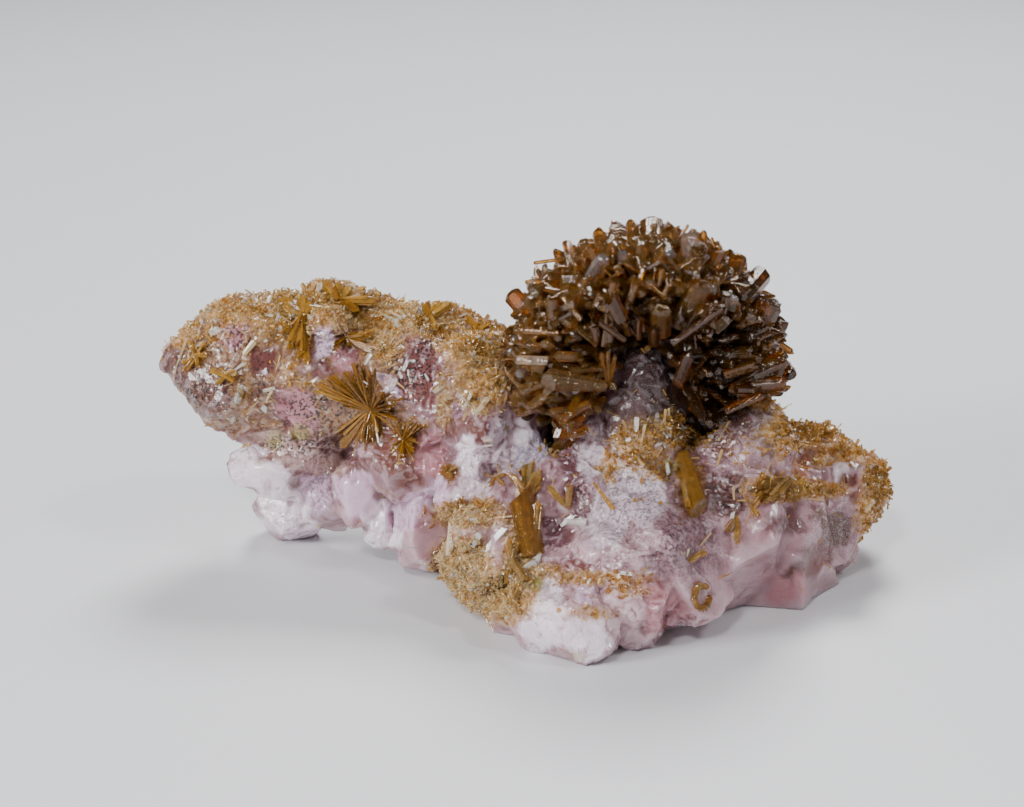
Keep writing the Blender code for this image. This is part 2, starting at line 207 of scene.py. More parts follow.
def crystal_ends(tree, vector, size):
    """A height, in millimetres, that tilts each small cell its own way."""
    cells = node(tree, "ShaderNodeTexVoronoi")
    cells.inputs["Scale"].default_value = 1 / size
    tree.links.new(vector, cells.inputs["Vector"])
    off = node(tree, "ShaderNodeVectorMath", operation="SUBTRACT")
    tree.links.new(vector, off.inputs[0])
    tree.links.new(cells.outputs["Position"], off.inputs[1])
    lean = node(tree, "ShaderNodeVectorMath", operation="SUBTRACT")
    tree.links.new(cells.outputs["Color"], lean.inputs[0])
    lean.inputs[1].default_value = (0.5, 0.5, 0.5)
    height = node(tree, "ShaderNodeVectorMath", operation="DOT_PRODUCT")
    tree.links.new(off.outputs["Vector"], height.inputs[0])
    tree.links.new(lean.outputs["Vector"], height.inputs[1])
    return height.outputs["Value"]


# %% [markdown]
# ## Light and floor
#
# Crystals need something bright to mirror and something dark beside it. A soft light from the
# left front does most of the work, two small hard ones give the glints, one from behind and above
# makes the crystal tops shine, and a weak one keeps the right side readable.
#
# The floor is one flat disc. Far out, behind the lamps, no light falls on it, so it glows a
# little there and stays one plain pale ground from every side.


# %% Softboxes, world and floor
def softbox(name, place, size, power, colour=(1, 1, 1)):
    bpy.ops.object.light_add(type="AREA", location=place)
    light = bpy.context.object
    light.name = name
    aim = Vector((0, 0, 0.015)) - Vector(place)
    light.rotation_euler = aim.to_track_quat("-Z", "Y").to_euler()
    light.data.size = size
    light.data.energy = power
    light.data.color = colour
    return light


softbox("key_left", (-0.44, -0.28, 0.22), 0.16, 3.4)
softbox("glint_front", (-0.12, -0.40, 0.42), 0.07, 1.4)
softbox("glint_right", (0.30, -0.20, 0.46), 0.07, 0.75)
softbox("fill_right", (0.42, -0.28, 0.16), 0.30, 0.3)
softbox("top_back", (0.06, 0.30, 0.42), 0.18, 2.8)

world = bpy.data.worlds.new("studio")
scene.world = world
world.use_nodes = True
backdrop = world.node_tree.nodes["Background"]
backdrop.inputs["Color"].default_value = (0.86, 0.87, 0.9, 1)
backdrop.inputs["Strength"].default_value = 0.17

FLOOR_RADIUS = 3.0
FLOOR_LEVEL = -0.00003  # just under the stone, so that the two never share a plane
bpy.ops.mesh.primitive_circle_add(
    vertices=96, radius=FLOOR_RADIUS, fill_type="NGON", location=(0, 0, FLOOR_LEVEL)
)
floor = bpy.context.object
floor.name = "studio_floor"
floor_paint, tree, shader = material_of("floor_paint")
shader.inputs["Base Color"].default_value = (0.72, 0.73, 0.76, 1)
shader.inputs["Roughness"].default_value = 0.5
shader.inputs["Emission Strength"].default_value = 1.0
away = node(tree, "ShaderNodeVectorMath", operation="LENGTH")
tree.links.new(node(tree, "ShaderNodeTexCoord").outputs["Object"], away.inputs[0])
FLOOR_GLOW = (0.47, 0.48, 0.50, 1)
GLOW_FROM, GLOW_TO = 0.40, 0.64  # metres from the object
far_out = ramp(tree, away.outputs["Value"], GLOW_FROM, GLOW_TO)
tree.links.new(blend(tree, far_out, (0, 0, 0, 1), FLOOR_GLOW), shader.inputs["Emission Color"])
floor.data.materials.append(floor_paint)

# %% [markdown]
# ## Named areas of the show side
#
# Crusts and stains have soft edges, so they are ellipses, given as they are seen: the golden
# crust, the black specks, brown stains, sugary patches, green lumps, faces that stay calm, and
# cracks. They could be painted by hand, but a short list is easier to correct. One function
# turns a list into a weight between 0 and 1 for any set of points, and it serves the colours,
# the shapes and the density of the needles alike.

# %% Ellipses in the view: middle x, y, half width, half height, amount
CRUST = (
    (195, 335, 30, 14, 0.6),
    (240, 312, 40, 14, 0.8),
    (262, 322, 14, 26, 0.6),
    (290, 318, 24, 26, 1.0),
    (335, 300, 44, 22, 1.0),
    (385, 315, 40, 20, 0.9),
    (385, 340, 18, 24, 0.8),
    (440, 320, 40, 18, 0.9),
    (474, 345, 30, 24, 1.0),
    (482, 375, 28, 36, 0.8),
    (246, 372, 4, 46, 0.45),
    (335, 384, 50, 5, 0.5),
    (290, 372, 10, 18, 0.5),
    (365, 325, 60, 5, 0.6),
    (444, 400, 8, 30, 0.55),
    (410, 425, 22, 8, 0.4),
    (470, 515, 40, 14, 0.8),
    (462, 570, 30, 34, 1.0),
    (500, 595, 34, 26, 1.0),
    (520, 560, 16, 36, 0.9),
    (540, 572, 26, 8, 0.7),
    (600, 578, 50, 7, 0.6),
    (630, 590, 20, 8, 0.5),
    (590, 612, 24, 6, 0.5),
    (805, 432, 40, 16, 1.0),
    (850, 450, 26, 12, 0.9),
    (880, 480, 16, 24, 1.0),
    (868, 515, 14, 22, 0.7),
    (780, 488, 34, 12, 0.9),
    (822, 490, 24, 8, 0.9),
    (822, 458, 12, 10, 0.6),
    (780, 430, 8, 30, 0.7),
    (640, 445, 26, 26, 0.7),
    (680, 430, 30, 18, 0.9),
    (655, 465, 20, 16, 0.5),
    (610, 465, 10, 18, 0.6),
    (755, 460, 30, 40, 0.15),
    (762, 398, 16, 12, 0.7),
)
PEPPER = (
    (200, 385, 42, 30, 1.0),
    (228, 340, 30, 24, 0.9),
    (262, 380, 14, 34, 0.7),
    (320, 410, 46, 26, 0.9),
    (330, 345, 22, 22, 0.6),
    (300, 445, 44, 14, 0.8),
    (412, 365, 34, 36, 1.0),
    (390, 400, 20, 20, 0.6),
    (350, 440, 14, 16, 0.6),
    (630, 500, 42, 50, 0.55),
    (680, 545, 40, 34, 0.6),
    (728, 495, 24, 26, 0.8),
    (320, 495, 16, 20, 0.5),
    (280, 515, 20, 14, 0.3),
)
BROWN = (
    (360, 392, 26, 17, 1.0),
    (370, 420, 13, 24, 1.0),
    (345, 436, 8, 12, 0.7),
    (405, 440, 14, 20, 0.8),
    (384, 402, 14, 10, 0.9),
    (300, 325, 15, 38, 0.9),
    (285, 300, 16, 12, 0.8),
    (196, 356, 13, 14, 0.8),
    (224, 376, 14, 8, 0.8),
    (356, 338, 22, 9, 0.8),
    (345, 302, 36, 18, 0.8),
    (428, 318, 12, 14, 0.6),
    (484, 345, 20, 20, 0.6),
    (528, 520, 13, 40, 0.9),
    (690, 486, 15, 32, 0.8),
    (774, 492, 26, 10, 0.9),
    (512, 575, 14, 28, 0.8),
    (450, 472, 10, 9, 0.8),
    (460, 508, 18, 9, 0.7),
    (655, 458, 16, 12, 0.5),
    (790, 430, 16, 12, 0.5),
    (872, 482, 12, 18, 0.7),
    (700, 597, 10, 14, 0.3),
)
SUGAR = (
    (628, 505, 44, 66, 0.85),
    (470, 458, 18, 20, 0.4),
    (530, 442, 16, 24, 0.8),
    (590, 450, 14, 34, 0.9),
    (632, 380, 30, 46, 0.35),
    (680, 535, 60, 46, 0.4),
    (740, 440, 44, 40, 0.45),
    (560, 620, 46, 40, 0.3),
    (270, 495, 50, 50, 0.3),
    (200, 390, 50, 50, 0.2),
    (835, 530, 30, 26, 0.6),
)
GREEN = (
    (163, 386, 10, 12, 1.0),
    (184, 410, 8, 9, 0.9),
    (275, 440, 10, 12, 0.6),
    (300, 432, 12, 10, 0.6),
    (536, 584, 7, 8, 1.0),
    (800, 487, 12, 8, 0.7),
    (668, 468, 7, 10, 0.6),
    (578, 657, 8, 6, 0.5),
    (258, 463, 5, 5, 0.5),
)
CALM = (
    (320, 408, 46, 26, 0.7),
    (420, 368, 36, 40, 0.7),
    (205, 385, 46, 34, 0.5),
    (262, 355, 18, 20, 0.6),
    (346, 360, 18, 14, 0.6),
    (262, 492, 44, 54, 0.9),
    (350, 505, 60, 44, 1.0),
    (425, 535, 34, 40, 1.0),
    (540, 640, 50, 30, 0.6),
    (770, 575, 110, 54, 1.0),
    (700, 570, 50, 50, 0.8),
    (840, 545, 40, 50, 0.8),
    (790, 520, 40, 30, 0.7),
    (350, 490, 26, 34, 0.9),
    (412, 515, 32, 26, 0.6),
    (425, 460, 30, 26, 0.5),
    (640, 500, 46, 60, 0.6),
    (560, 620, 50, 36, 0.4),
)
CRACKS = (
    (787, 512, 14, 34, 1.0),
    (388, 447, 24, 9, 1.0),
    (468, 486, 26, 12, 1.0),
    (705, 640, 20, 14, 1.0),
    (328, 520, 12, 20, 1.0),
)


def area_weight(view, ellipses, softness=0.5):
    """For each seen point, how much of the listed areas covers it."""
    total = np.zeros(len(view))
    for x, y, wide, high, amount in ellipses:
        away = np.hypot((view[:, 0] - x) / wide, (view[:, 1] - y) / high)
        cover = np.clip((1 + softness - away) / (2 * softness), 0, 1)
        total = np.maximum(total, amount * cover * cover * (3 - 2 * cover))
    return total


# %% [markdown]
# ### Crystal faces of the quartz
#
# The broad faces on the real stone each have one tint, with a clear edge against the next. They
# are polygons in the view. Each names its tint, and the tints follow further down.

# %% Faces: tint, then corners in the view
FACES = (
    ("beige", (153, 357), (166, 344), (182, 348), (184, 366), (172, 382), (160, 370)),
    ("pink", (222, 322), (250, 320), (256, 332), (244, 346), (226, 350), (212, 342)),
    ("beige", (176, 376), (206, 366), (228, 382), (232, 410), (206, 418), (186, 400)),
    ("rose", (250, 345), (262, 338), (276, 345), (280, 362), (270, 374), (254, 374), (247, 360)),
    ("pink", (273, 394), (290, 386), (310, 396), (318, 412), (316, 434), (300, 438), (280, 422)),
    ("lilac", (308, 332), (328, 322), (338, 338), (330, 358), (314, 352)),
    ("pink", (338, 348), (352, 346), (361, 358), (352, 372), (334, 370)),
    ("rose", (308, 360), (326, 362), (332, 376), (312, 380)),
    ("lilac", (372, 374), (396, 378), (400, 392), (384, 398), (372, 388)),
    ("rose", (398, 344), (410, 332), (432, 338), (446, 354), (440, 366), (404, 368)),
    ("rose", (402, 368), (440, 366), (438, 392), (430, 408), (406, 402), (398, 386)),
    ("blush", (345, 434), (360, 434), (374, 446), (360, 458), (344, 452)),
    ("dusk", (380, 424), (402, 430), (406, 448), (386, 448)),
    ("lip", (236, 440), (268, 428), (300, 440), (330, 446), (352, 466), (316, 474), (282, 462)),
    ("pink", (420, 434), (436, 430), (446, 450), (450, 470), (436, 482), (418, 470), (412, 450)),
    ("dusk", (376, 446), (404, 448), (420, 472), (424, 484), (402, 486), (384, 472)),
    ("dusk", (430, 402), (446, 416), (482, 422), (486, 440), (452, 436), (434, 428)),
    ("white", (238, 442), (268, 446), (258, 458), (232, 462), (230, 452)),
    ("white", (232, 462), (258, 458), (292, 470), (286, 484), (262, 490), (240, 486), (229, 478)),
    ("white", (262, 490), (288, 482), (300, 494), (312, 520), (290, 520), (264, 510), (256, 496)),
    ("white", (258, 512), (290, 520), (322, 522), (318, 538), (300, 545), (282, 539), (268, 534)),
    ("lilac", (298, 478), (322, 475), (335, 500), (326, 510), (316, 518), (304, 504)),
    ("blush", (318, 518), (338, 505), (351, 518), (340, 530), (330, 522)),
    ("lilac", (330, 478), (350, 472), (370, 470), (372, 490), (368, 524), (352, 516), (338, 500)),
    ("white", (368, 498), (382, 500), (396, 528), (380, 534), (366, 524)),
    ("white", (366, 526), (382, 534), (398, 530), (404, 544), (380, 552), (362, 538)),
    ("lilac", (386, 504), (420, 494), (434, 512), (416, 530), (402, 532), (392, 520)),
    ("blush", (414, 530), (436, 512), (446, 540), (440, 556), (424, 560), (412, 546)),
    ("white", (416, 560), (440, 556), (440, 574), (428, 576)),
    ("white", (455, 442), (476, 438), (488, 452), (484, 468), (470, 480), (455, 466)),
    ("frost", (486, 470), (494, 462), (490, 500), (470, 504), (452, 498), (456, 480)),
    ("lilac", (424, 486), (446, 478), (452, 498), (440, 506), (422, 500)),
    ("frost", (489, 422), (508, 418), (512, 440), (510, 472), (496, 470), (488, 440)),
    ("white", (513, 426), (524, 420), (534, 428), (530, 446), (514, 448)),
    ("blue", (512, 450), (530, 446), (534, 428), (546, 430), (548, 456), (532, 470), (514, 474)),
    ("frost", (582, 432), (598, 418), (606, 440), (600, 476), (584, 480), (577, 460)),
    ("plum", (562, 440), (576, 452), (584, 480), (596, 500), (588, 520), (572, 520), (564, 480)),
    ("plum", (540, 520), (556, 516), (572, 530), (572, 544), (544, 548)),
    ("dusk", (512, 512), (524, 512), (532, 540), (520, 556), (510, 540)),
    ("frost", (618, 448), (636, 444), (664, 478), (670, 498), (652, 528), (624, 562), (606, 568),
     (592, 540), (580, 529), (596, 500), (600, 480)),
    ("frost", (644, 508), (672, 496), (662, 516), (651, 532), (642, 520)),
    ("blush", (622, 538), (632, 520), (644, 526), (640, 540), (628, 546)),
    ("petal", (626, 556), (638, 540), (651, 546), (648, 562), (630, 572)),
    ("mauve", (598, 548), (622, 562), (630, 572), (612, 576), (600, 566)),
    ("blush", (563, 549), (572, 541), (588, 545), (596, 556), (578, 556)),
    ("rose", (561, 558), (590, 560), (594, 572), (566, 570)),
    ("white", (538, 588), (550, 576), (562, 588), (568, 612), (552, 616), (532, 612)),
    ("white", (518, 632), (532, 614), (566, 616), (560, 640), (544, 656), (528, 652)),
    ("white", (562, 640), (568, 620), (590, 612), (606, 626), (612, 645), (602, 660), (578, 662)),
    ("lilac", (570, 586), (592, 584), (597, 598), (580, 603)),
    ("petal", (602, 586), (618, 586), (630, 600), (614, 612), (604, 604)),
    ("petal", (610, 616), (634, 602), (642, 606), (640, 632), (622, 642), (614, 630)),
    ("pink", (646, 602), (668, 592), (690, 600), (686, 620), (662, 636), (646, 630)),
    ("pink", (634, 584), (655, 575), (670, 590), (646, 600)),
    ("petal", (612, 648), (640, 634), (658, 636), (622, 656)),
    ("mauve", (664, 506), (690, 504), (704, 520), (730, 530), (712, 548), (670, 540), (656, 530)),
    ("mauve", (652, 544), (690, 546), (712, 552), (700, 574), (670, 580), (654, 568)),
    ("blush", (702, 580), (740, 562), (768, 574), (760, 612), (730, 620), (704, 622)),
    ("haze", (742, 548), (776, 538), (800, 548), (790, 568), (768, 572), (744, 560)),
    ("pink", (770, 576), (796, 566), (812, 588), (792, 604), (764, 612)),
    ("rose", (796, 562), (822, 536), (834, 546), (826, 566), (812, 584)),
    ("haze", (812, 592), (828, 576), (848, 562), (846, 574), (826, 592)),
    ("umber", (782, 580), (794, 562), (808, 542), (815, 546), (803, 568), (790, 587)),
    ("purple", (770, 512), (798, 510), (808, 528), (790, 538), (764, 530)),
    ("salmon", (790, 460), (803, 450), (813, 460), (809, 480), (795, 480)),
    ("salmon", (808, 444), (827, 440), (829, 454), (815, 462)),
    ("white", (831, 470), (839, 461), (851, 468), (840, 478), (832, 488)),
    ("dusk", (838, 486), (850, 472), (860, 478), (869, 492), (866, 506), (848, 500)),
    ("grey", (845, 442), (858, 441), (863, 452), (852, 454)),
    ("beige", (702, 448), (722, 424), (742, 402), (752, 404), (750, 428), (738, 450), (716, 460)),
    ("grey", (753, 402), (778, 402), (782, 440), (770, 456), (754, 440)),
    ("umber", (692, 462), (712, 468), (722, 500), (708, 520), (696, 492)),
    ("umber", (718, 478), (742, 474), (748, 500), (738, 520), (722, 512)),
    ("haze", (603, 546), (648, 534), (640, 556), (610, 568)),
    ("haze", (868, 526), (884, 512), (881, 530), (867, 539)),
    ("grey", (812, 512), (836, 508), (852, 520), (846, 548), (826, 540)),
    # The dim face, under the rosette, is painted shade rather than a tint of the stone.
    ("dim", (612, 398), (626, 380), (664, 380), (690, 404), (704, 436), (684, 446), (600, 452),
     (598, 424)),
    ("smoke", (622, 364), (644, 340), (640, 384), (616, 410), (604, 412), (616, 390)),
    ("smoke", (645, 340), (667, 363), (682, 386), (690, 410), (650, 418), (641, 384)),
)


def inside_polygon(view, corners):
    """Whether each seen point lies in the polygon, and how far it is from its edges."""
    inside = np.zeros(len(view), bool)
    edge = np.full(len(view), 1e9)
    x, y = view[:, 0], view[:, 1]
    for (ax, ay), (bx, by) in zip(corners, corners[1:] + corners[:1]):
        crosses = (ay > y) != (by > y)
        where = (bx - ax) * (y - ay) / (by - ay if by != ay else 1e-9) + ax
        inside ^= crosses & (x < where)
        long = np.hypot(bx - ax, by - ay)
        share = np.clip(((x - ax) * (bx - ax) + (y - ay) * (by - ay)) / long**2, 0, 1)
        edge = np.minimum(edge, np.hypot(x - ax - share * (bx - ax), y - ay - share * (by - ay)))
    return inside, edge


def face_cover(view, corners, blur):
    """1 inside the polygon and 0 outside, with an edge that is blur wide."""
    inside, edge = inside_polygon(view, corners)
    return np.clip(0.5 + np.where(inside, edge, -edge) / blur, 0, 1)


print("areas:", sum(map(len, (CRUST, PEPPER, BROWN, SUGAR, GREEN))), "and faces:", len(FACES))

# %% [markdown]
# ## The rose quartz
#
# The real mass is hundreds of quartz crystals grown into each other, so it has big blocks with
# small flat faces all over. It could be sculpted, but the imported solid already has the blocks.
# A copy is remeshed to an even skin of small squares, which later steps can move. Many small
# flat cuts give it crystal faces, small crystals are raised as flat-topped mesas, and the result
# is thinned, which keeps the edges and empties the flat faces.


# %% A clean copy of a solid, with an even skin
def merged_copy(node, name):
    """The node's shape as an object of its own, with its loose triangles joined."""
    copy = bpy.data.objects.new(name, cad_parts[node].data.copy())
    scene.collection.objects.link(copy)
    bpy.ops.object.select_all(action="DESELECT")
    copy.select_set(True)
    bpy.context.view_layer.objects.active = copy
    bpy.ops.object.mode_set(mode="EDIT")
    bpy.ops.mesh.select_all(action="SELECT")
    bpy.ops.mesh.remove_doubles(threshold=2e-6)
    bpy.ops.object.mode_set(mode="OBJECT")
    copy.data.materials.clear()
    return copy


quartz = merged_copy("rose_quartz", "rose_quartz_stone")
print("packed stone:", len(quartz.data.polygons), "triangles")

# %% [markdown]
# Between some of the solid's blocks lie deep gaps that the real stone doesn't have. A few balls
# are sunk into them, and the remeshing makes stone and balls one skin.

# %% Lumps in the gaps: x, y in the view, radius in millimetres
GAP_LUMPS = (
    (466, 490, 2.4), (478, 500, 2.2), (456, 484, 2.0), (452, 502, 2.0), (390, 447, 1.8),
)
BANK_X, BANK_Y = 24, 6  # a gap's two banks are looked for this far to each side
LUMP_SINK = 0.6  # share of its radius by which a ball lies behind the banks
solid_tree = BVHTree.FromObject(quartz, bpy.context.evaluated_depsgraph_get())
lumps = [quartz]
for x, y, radius in GAP_LUMPS:
    depths = []
    for side in (-1, 1):
        line = sight_line(x + side * BANK_X, y + side * BANK_Y).normalized()
        depths.append((solid_tree.ray_cast(EYE * MM, line)[0] / MM - EYE).dot(FORWARD))
    place = EYE + sight_line(x, y) * (sum(depths) / 2 + LUMP_SINK * radius)
    bpy.ops.mesh.primitive_ico_sphere_add(subdivisions=2, radius=radius * MM, location=place * MM)
    lumps.append(bpy.context.object)
bpy.ops.object.select_all(action="DESELECT")
for lump in lumps:
    lump.select_set(True)
bpy.context.view_layer.objects.active = quartz
bpy.ops.object.join()

# %% [markdown]
# The solid's triangles are long and uneven, and a step that moves points needs small even faces.
# A voxel remesh gives them, at about a fifth of a millimetre, and also closes the skin over the
# balls. Two rounds of smoothing take away its stairs.

# %% An even skin
SKIN_SIZE = 0.00021
remesh = quartz.modifiers.new("even_skin", "REMESH")
remesh.mode = "VOXEL"
remesh.voxel_size = SKIN_SIZE
bpy.ops.object.modifier_apply(modifier="even_skin")
relax = quartz.modifiers.new("worn_edges", "SMOOTH")
relax.factor = 0.5
relax.iterations = 2
bpy.ops.object.modifier_apply(modifier="worn_edges")
print("quartz skin:", len(quartz.data.polygons), "squares")


# %% Reading and moving points
def points_of(obj):
    flat = np.empty(len(obj.data.vertices) * 3, np.float32)
    obj.data.vertices.foreach_get("co", flat)
    return flat.reshape(-1, 3).astype(float)


def normals_of(obj):
    flat = np.empty(len(obj.data.vertices) * 3, np.float32)
    obj.data.vertices.foreach_get("normal", flat)
    return flat.reshape(-1, 3).astype(float)


def put_points(obj, points):
    obj.data.vertices.foreach_set("co", points.astype(np.float32).ravel())
    obj.data.update()


# %% [markdown]
# Small quartz crystals stand side by side like flat-topped hills. A noise texture would give
# round bumps, so each skin point looks up the crystals near it instead. Every crystal is a
# leaning top cut off by straight sides, and the highest one at a point wins.

# %% Small crystals as overlapping mesas
NEIGHBOURS = 5
LEAN_SHARE = 1.8
TOP_REACH = 0.62  # half width of a flat top, as a share of the step


def random_turns(count, rng):
    """Rotation matrices that point evenly every way."""
    turns, _ = np.linalg.qr(rng.normal(size=(count, 3, 3)))
    return turns


def mesa_relief(points, normals, step, height, steep, rng):
    """Height of each point among flat-topped crystals about step wide, in the points' unit."""
    low, high = points.min(axis=0), points.max(axis=0)
    axes = [np.arange(a - step, b + step, step) for a, b in zip(low, high)]
    seeds = np.stack(np.meshgrid(*axes, indexing="ij"), axis=-1).reshape(-1, 3)
    seeds = seeds + rng.uniform(-0.5, 0.5, seeds.shape) * step
    tree = KDTree(len(seeds))
    for i, seed in enumerate(seeds):
        tree.insert(seed, i)
    tree.balance()
    near = np.array([[found[1] for found in tree.find_n(p, NEIGHBOURS)] for p in points])
    turns = random_turns(len(seeds), rng)
    lean = rng.normal(size=(len(seeds), 3)) * LEAN_SHARE * height / step
    top = rng.uniform(-0.5, 0.5, len(seeds)) * height
    relief = np.full(len(points), -1e9)
    for k in range(NEIGHBOURS):
        i = near[:, k]
        away = points - seeds[i]
        away -= (away * normals).sum(axis=1)[:, None] * normals
        box = np.abs(np.einsum("nij,nj->ni", turns[i], away)).max(axis=1)
        flat = top[i] + (away * lean[i]).sum(axis=1)
        side = top[i] + steep * (TOP_REACH * step - box)
        relief = np.maximum(relief, np.minimum(flat, side))
    return relief


# %% [markdown]
# A few cracks between blocks are sharper in the solid than on the stone. A Smooth modifier with
# a vertex group fills only those.

# %% Smooth the cracks
skin = points_of(quartz) / MM
calm = area_weight(view_of(skin)[0], CALM)
cracked = area_weight(view_of(skin)[0], CRACKS)
crack_points = quartz.vertex_groups.new(name="cracks")
for i in np.nonzero(cracked > 0.02)[0]:
    crack_points.add([int(i)], float(cracked[i]), "REPLACE")
fill = quartz.modifiers.new("filled_cracks", "SMOOTH")
fill.factor = 0.5
fill.iterations = 120
fill.vertex_group = "cracks"
bpy.ops.object.modifier_apply(modifier="filled_cracks")
print("crack points:", int((cracked > 0.02).sum()))

# %% [markdown]
# Where a flat cut takes off the high points of a small patch, the stone gets a crystal face.
# Bisecting would cut right through the mass, so each cut only lowers the points near it.

# %% Small flat cuts, as crystal faces, in millimetres
CUTS = 2600
CUT_REACH = 1.9
CUT_DEPTH = 0.16
CUT_SLOPE = 0.5
CUT_LEVEL = 0.75  # share of a patch that stays below the cut
rng = np.random.default_rng(11)
skin = points_of(quartz) / MM
skin_normals = normals_of(quartz)
skin_view, _ = view_of(skin)
crusty = area_weight(skin_view, CRUST)
tree = KDTree(len(skin))
for i, point in enumerate(skin):
    tree.insert(point, i)
tree.balance()
chance = (skin[:, 2] > 0.6) * (1.05 - crusty) * (1 - 0.9 * calm)
for i in rng.choice(len(skin), CUTS, replace=False, p=chance / chance.sum()):
    reach = CUT_REACH * rng.uniform(0.5, 1.0)
    near = np.array([found[1] for found in tree.find_range(skin[i], reach * 1.6)])
    normal = skin_normals[near].mean(axis=0) + rng.normal(size=3) * 0.05
    normal /= np.linalg.norm(normal)
    off = skin[near] - skin[near].mean(axis=0)
    height = off @ normal
    beyond = np.linalg.norm(off - height[:, None] * normal, axis=1) - reach
    level = np.quantile(height[beyond < 0], CUT_LEVEL)
    spare = height - level - CUT_SLOPE * np.clip(beyond, 0, None)
    same_side = (skin_normals[near] @ normal) > 0.3
    skin[near] -= np.where(same_side, np.clip(spare, 0, CUT_DEPTH), 0)[:, None] * normal
put_points(quartz, skin * MM)

# %% [markdown]
# The hills come in two sizes: broad low ones all over the stone, except on its calm faces, and
# small ones where the golden crust sits. What faces away from the eye gets a gentler relief.

# %% Raise the small crystals
skin_normals = normals_of(quartz)
relief = mesa_relief(skin, skin_normals, step=1.9, height=0.18, steep=1.0, rng=rng)
relief *= 1 - 0.93 * calm
relief += mesa_relief(skin, skin_normals, step=0.8, height=0.12, steep=0.8, rng=rng) * 1.4 * crusty
relief *= 0.6 + 0.4 * np.clip(0.6 - 2 * (skin_normals @ np.array(FORWARD)), 0, 1)
relief[skin[:, 2] < 0.5] = 0
skin = skin + skin_normals * relief[:, None]
skin[:, 2] = np.maximum(skin[:, 2], 0)
put_points(quartz, skin * MM)
print("relief:", relief.min(), relief.max())

# %% [markdown]
# The even skin has far more triangles than a flat crystal face needs. Decimating by collapse
# keeps them where the form bends, so the edges stay sharp and the piece stays light.

# %% Fewer triangles, most of them at the edges
MOST_TRIANGLES = 190000
count = sum(len(face.vertices) - 2 for face in quartz.data.polygons)
bpy.ops.object.select_all(action="DESELECT")
quartz.select_set(True)
bpy.context.view_layer.objects.active = quartz
fewer = quartz.modifiers.new("fewer", "DECIMATE")
fewer.ratio = MOST_TRIANGLES / count
bpy.ops.object.modifier_apply(modifier="fewer")
print("quartz:", len(quartz.data.polygons), "faces after, from", count, "triangles")

# %% [markdown]
# ### Colours carried by the mesh
#
# Rose quartz isn't one pink. Each face has its own tint, and crusts, specks and green lumps lie
# on top. The mesh is fine enough to carry all that itself, so no image is needed: each value is
# stored on the stone's points, and the material reads it by name.


# %% Tints
def tint(red, green, blue):
    """A colour as it looks on a screen, made linear."""
    return tuple(((c / 255 + 0.055) / 1.055) ** 2.4 for c in (red, green, blue)) + (1,)


TINTS = {
    "white": tint(244, 228, 238),
    "frost": tint(200, 182, 192),
    "blue": tint(166, 156, 176),
    "lilac": tint(210, 178, 200),
    "petal": tint(202, 170, 176),
    "blush": tint(186, 150, 156),
    "haze": tint(160, 124, 128),
    "lip": tint(184, 152, 146),
    "pink": tint(172, 116, 122),
    "rose": tint(116, 64, 58),
    "dusk": tint(116, 70, 58),
    "mauve": tint(136, 100, 108),
    "purple": tint(102, 62, 62),
    "umber": tint(88, 50, 40),
    "plum": tint(94, 54, 60),
    "salmon": tint(154, 98, 64),
    "beige": tint(100, 60, 40),
    "grey": tint(94, 66, 50),
    # dim is painted shade under the rosette.
    "dim": tint(98, 74, 76),
    "smoke": tint(52, 34, 28),
}


# %% Storing values, and which of the stone's points face the eye
def store(obj, name, values):
    layer = obj.data.attributes.new(name, "FLOAT", "POINT")
    layer.data.foreach_set("value", np.asarray(values, np.float32))


def towards(colours, name, share):
    """The colours moved towards a named tint by each point's share."""
    return colours + share[:, None] * (np.array(TINTS[name]) - colours)


stone = points_of(quartz) / MM
stone_view, _ = view_of(stone)
stone_normals = normals_of(quartz)
front = np.clip(-(stone_normals @ np.array(FORWARD)) * 2 + 0.6, 0, 1)
print("points that face the eye:", int((front > 0.5).sum()), "of", len(stone))

# %% [markdown]
# The back isn't listed face by face. Seeds are strewn over the stone, and each point takes the
# pale tint of the seed nearest to it, which gives patches like broad crystal faces.

# %% Tints of the back
BACK_TINTS = ("white", "petal", "blush", "pink", "lilac", "haze", "petal", "blush")
BACK_PATCHES = 260
rng = np.random.default_rng(12)
patch_seeds = KDTree(BACK_PATCHES)
for i, pick in enumerate(rng.choice(len(stone), BACK_PATCHES, replace=False)):
    patch_seeds.insert(stone[pick], i)
patch_seeds.balance()
nearest_patch = [patch_seeds.find(point)[1] for point in stone]
colours = np.array([TINTS[BACK_TINTS[i % len(BACK_TINTS)]] for i in nearest_patch])

# %% [markdown]
# The show side is mauve, blush low down and brownish on the wing. The listed faces are painted
# over that, one after the other. Their edges run a little wavy, because grown faces do.

# %% Tints of the show side
LOW_FROM, LOW_BLUR = 440, 100  # in the view, from the top down
WING_END, WING_BLUR = 430, 40  # the wing lies left of this
WING_FOOT, FOOT_BLUR = 455, 30  # and above this
low = np.clip((stone_view[:, 1] - LOW_FROM) / LOW_BLUR, 0, 1)
wing = np.clip((WING_END - stone_view[:, 0]) / WING_BLUR, 0, 1) * (1 - low)
colours = towards(colours, "mauve", front)
colours = towards(colours, "blush", 0.7 * low)
colours = towards(colours, "beige", 0.75 * wing)
waves = 2.5 * np.sin(stone_view[:, ::-1] / 4.3) + 2.0 * np.sin(stone_view / 2.3 + 1)
wavy_view = stone_view + waves
window = np.zeros(len(stone))
for name, *corners in FACES:
    cover = face_cover(wavy_view, corners, 3.0) * (front > 0.3)
    colours = towards(colours, name, 0.9 * cover)
    window = np.maximum(window, face_cover(wavy_view, corners, 4.0))
painted = quartz.data.attributes.new("face_tint", "FLOAT_COLOR", "POINT")
painted.data.foreach_set("color", colours.astype(np.float32).ravel())
print("points in a listed face:", int((window > 0.5).sum()))

# %% [markdown]
# The crust is one golden layer of grains. It lies thinly on the whole wing, apart from its clear
# faces, and on what looks up at the back.

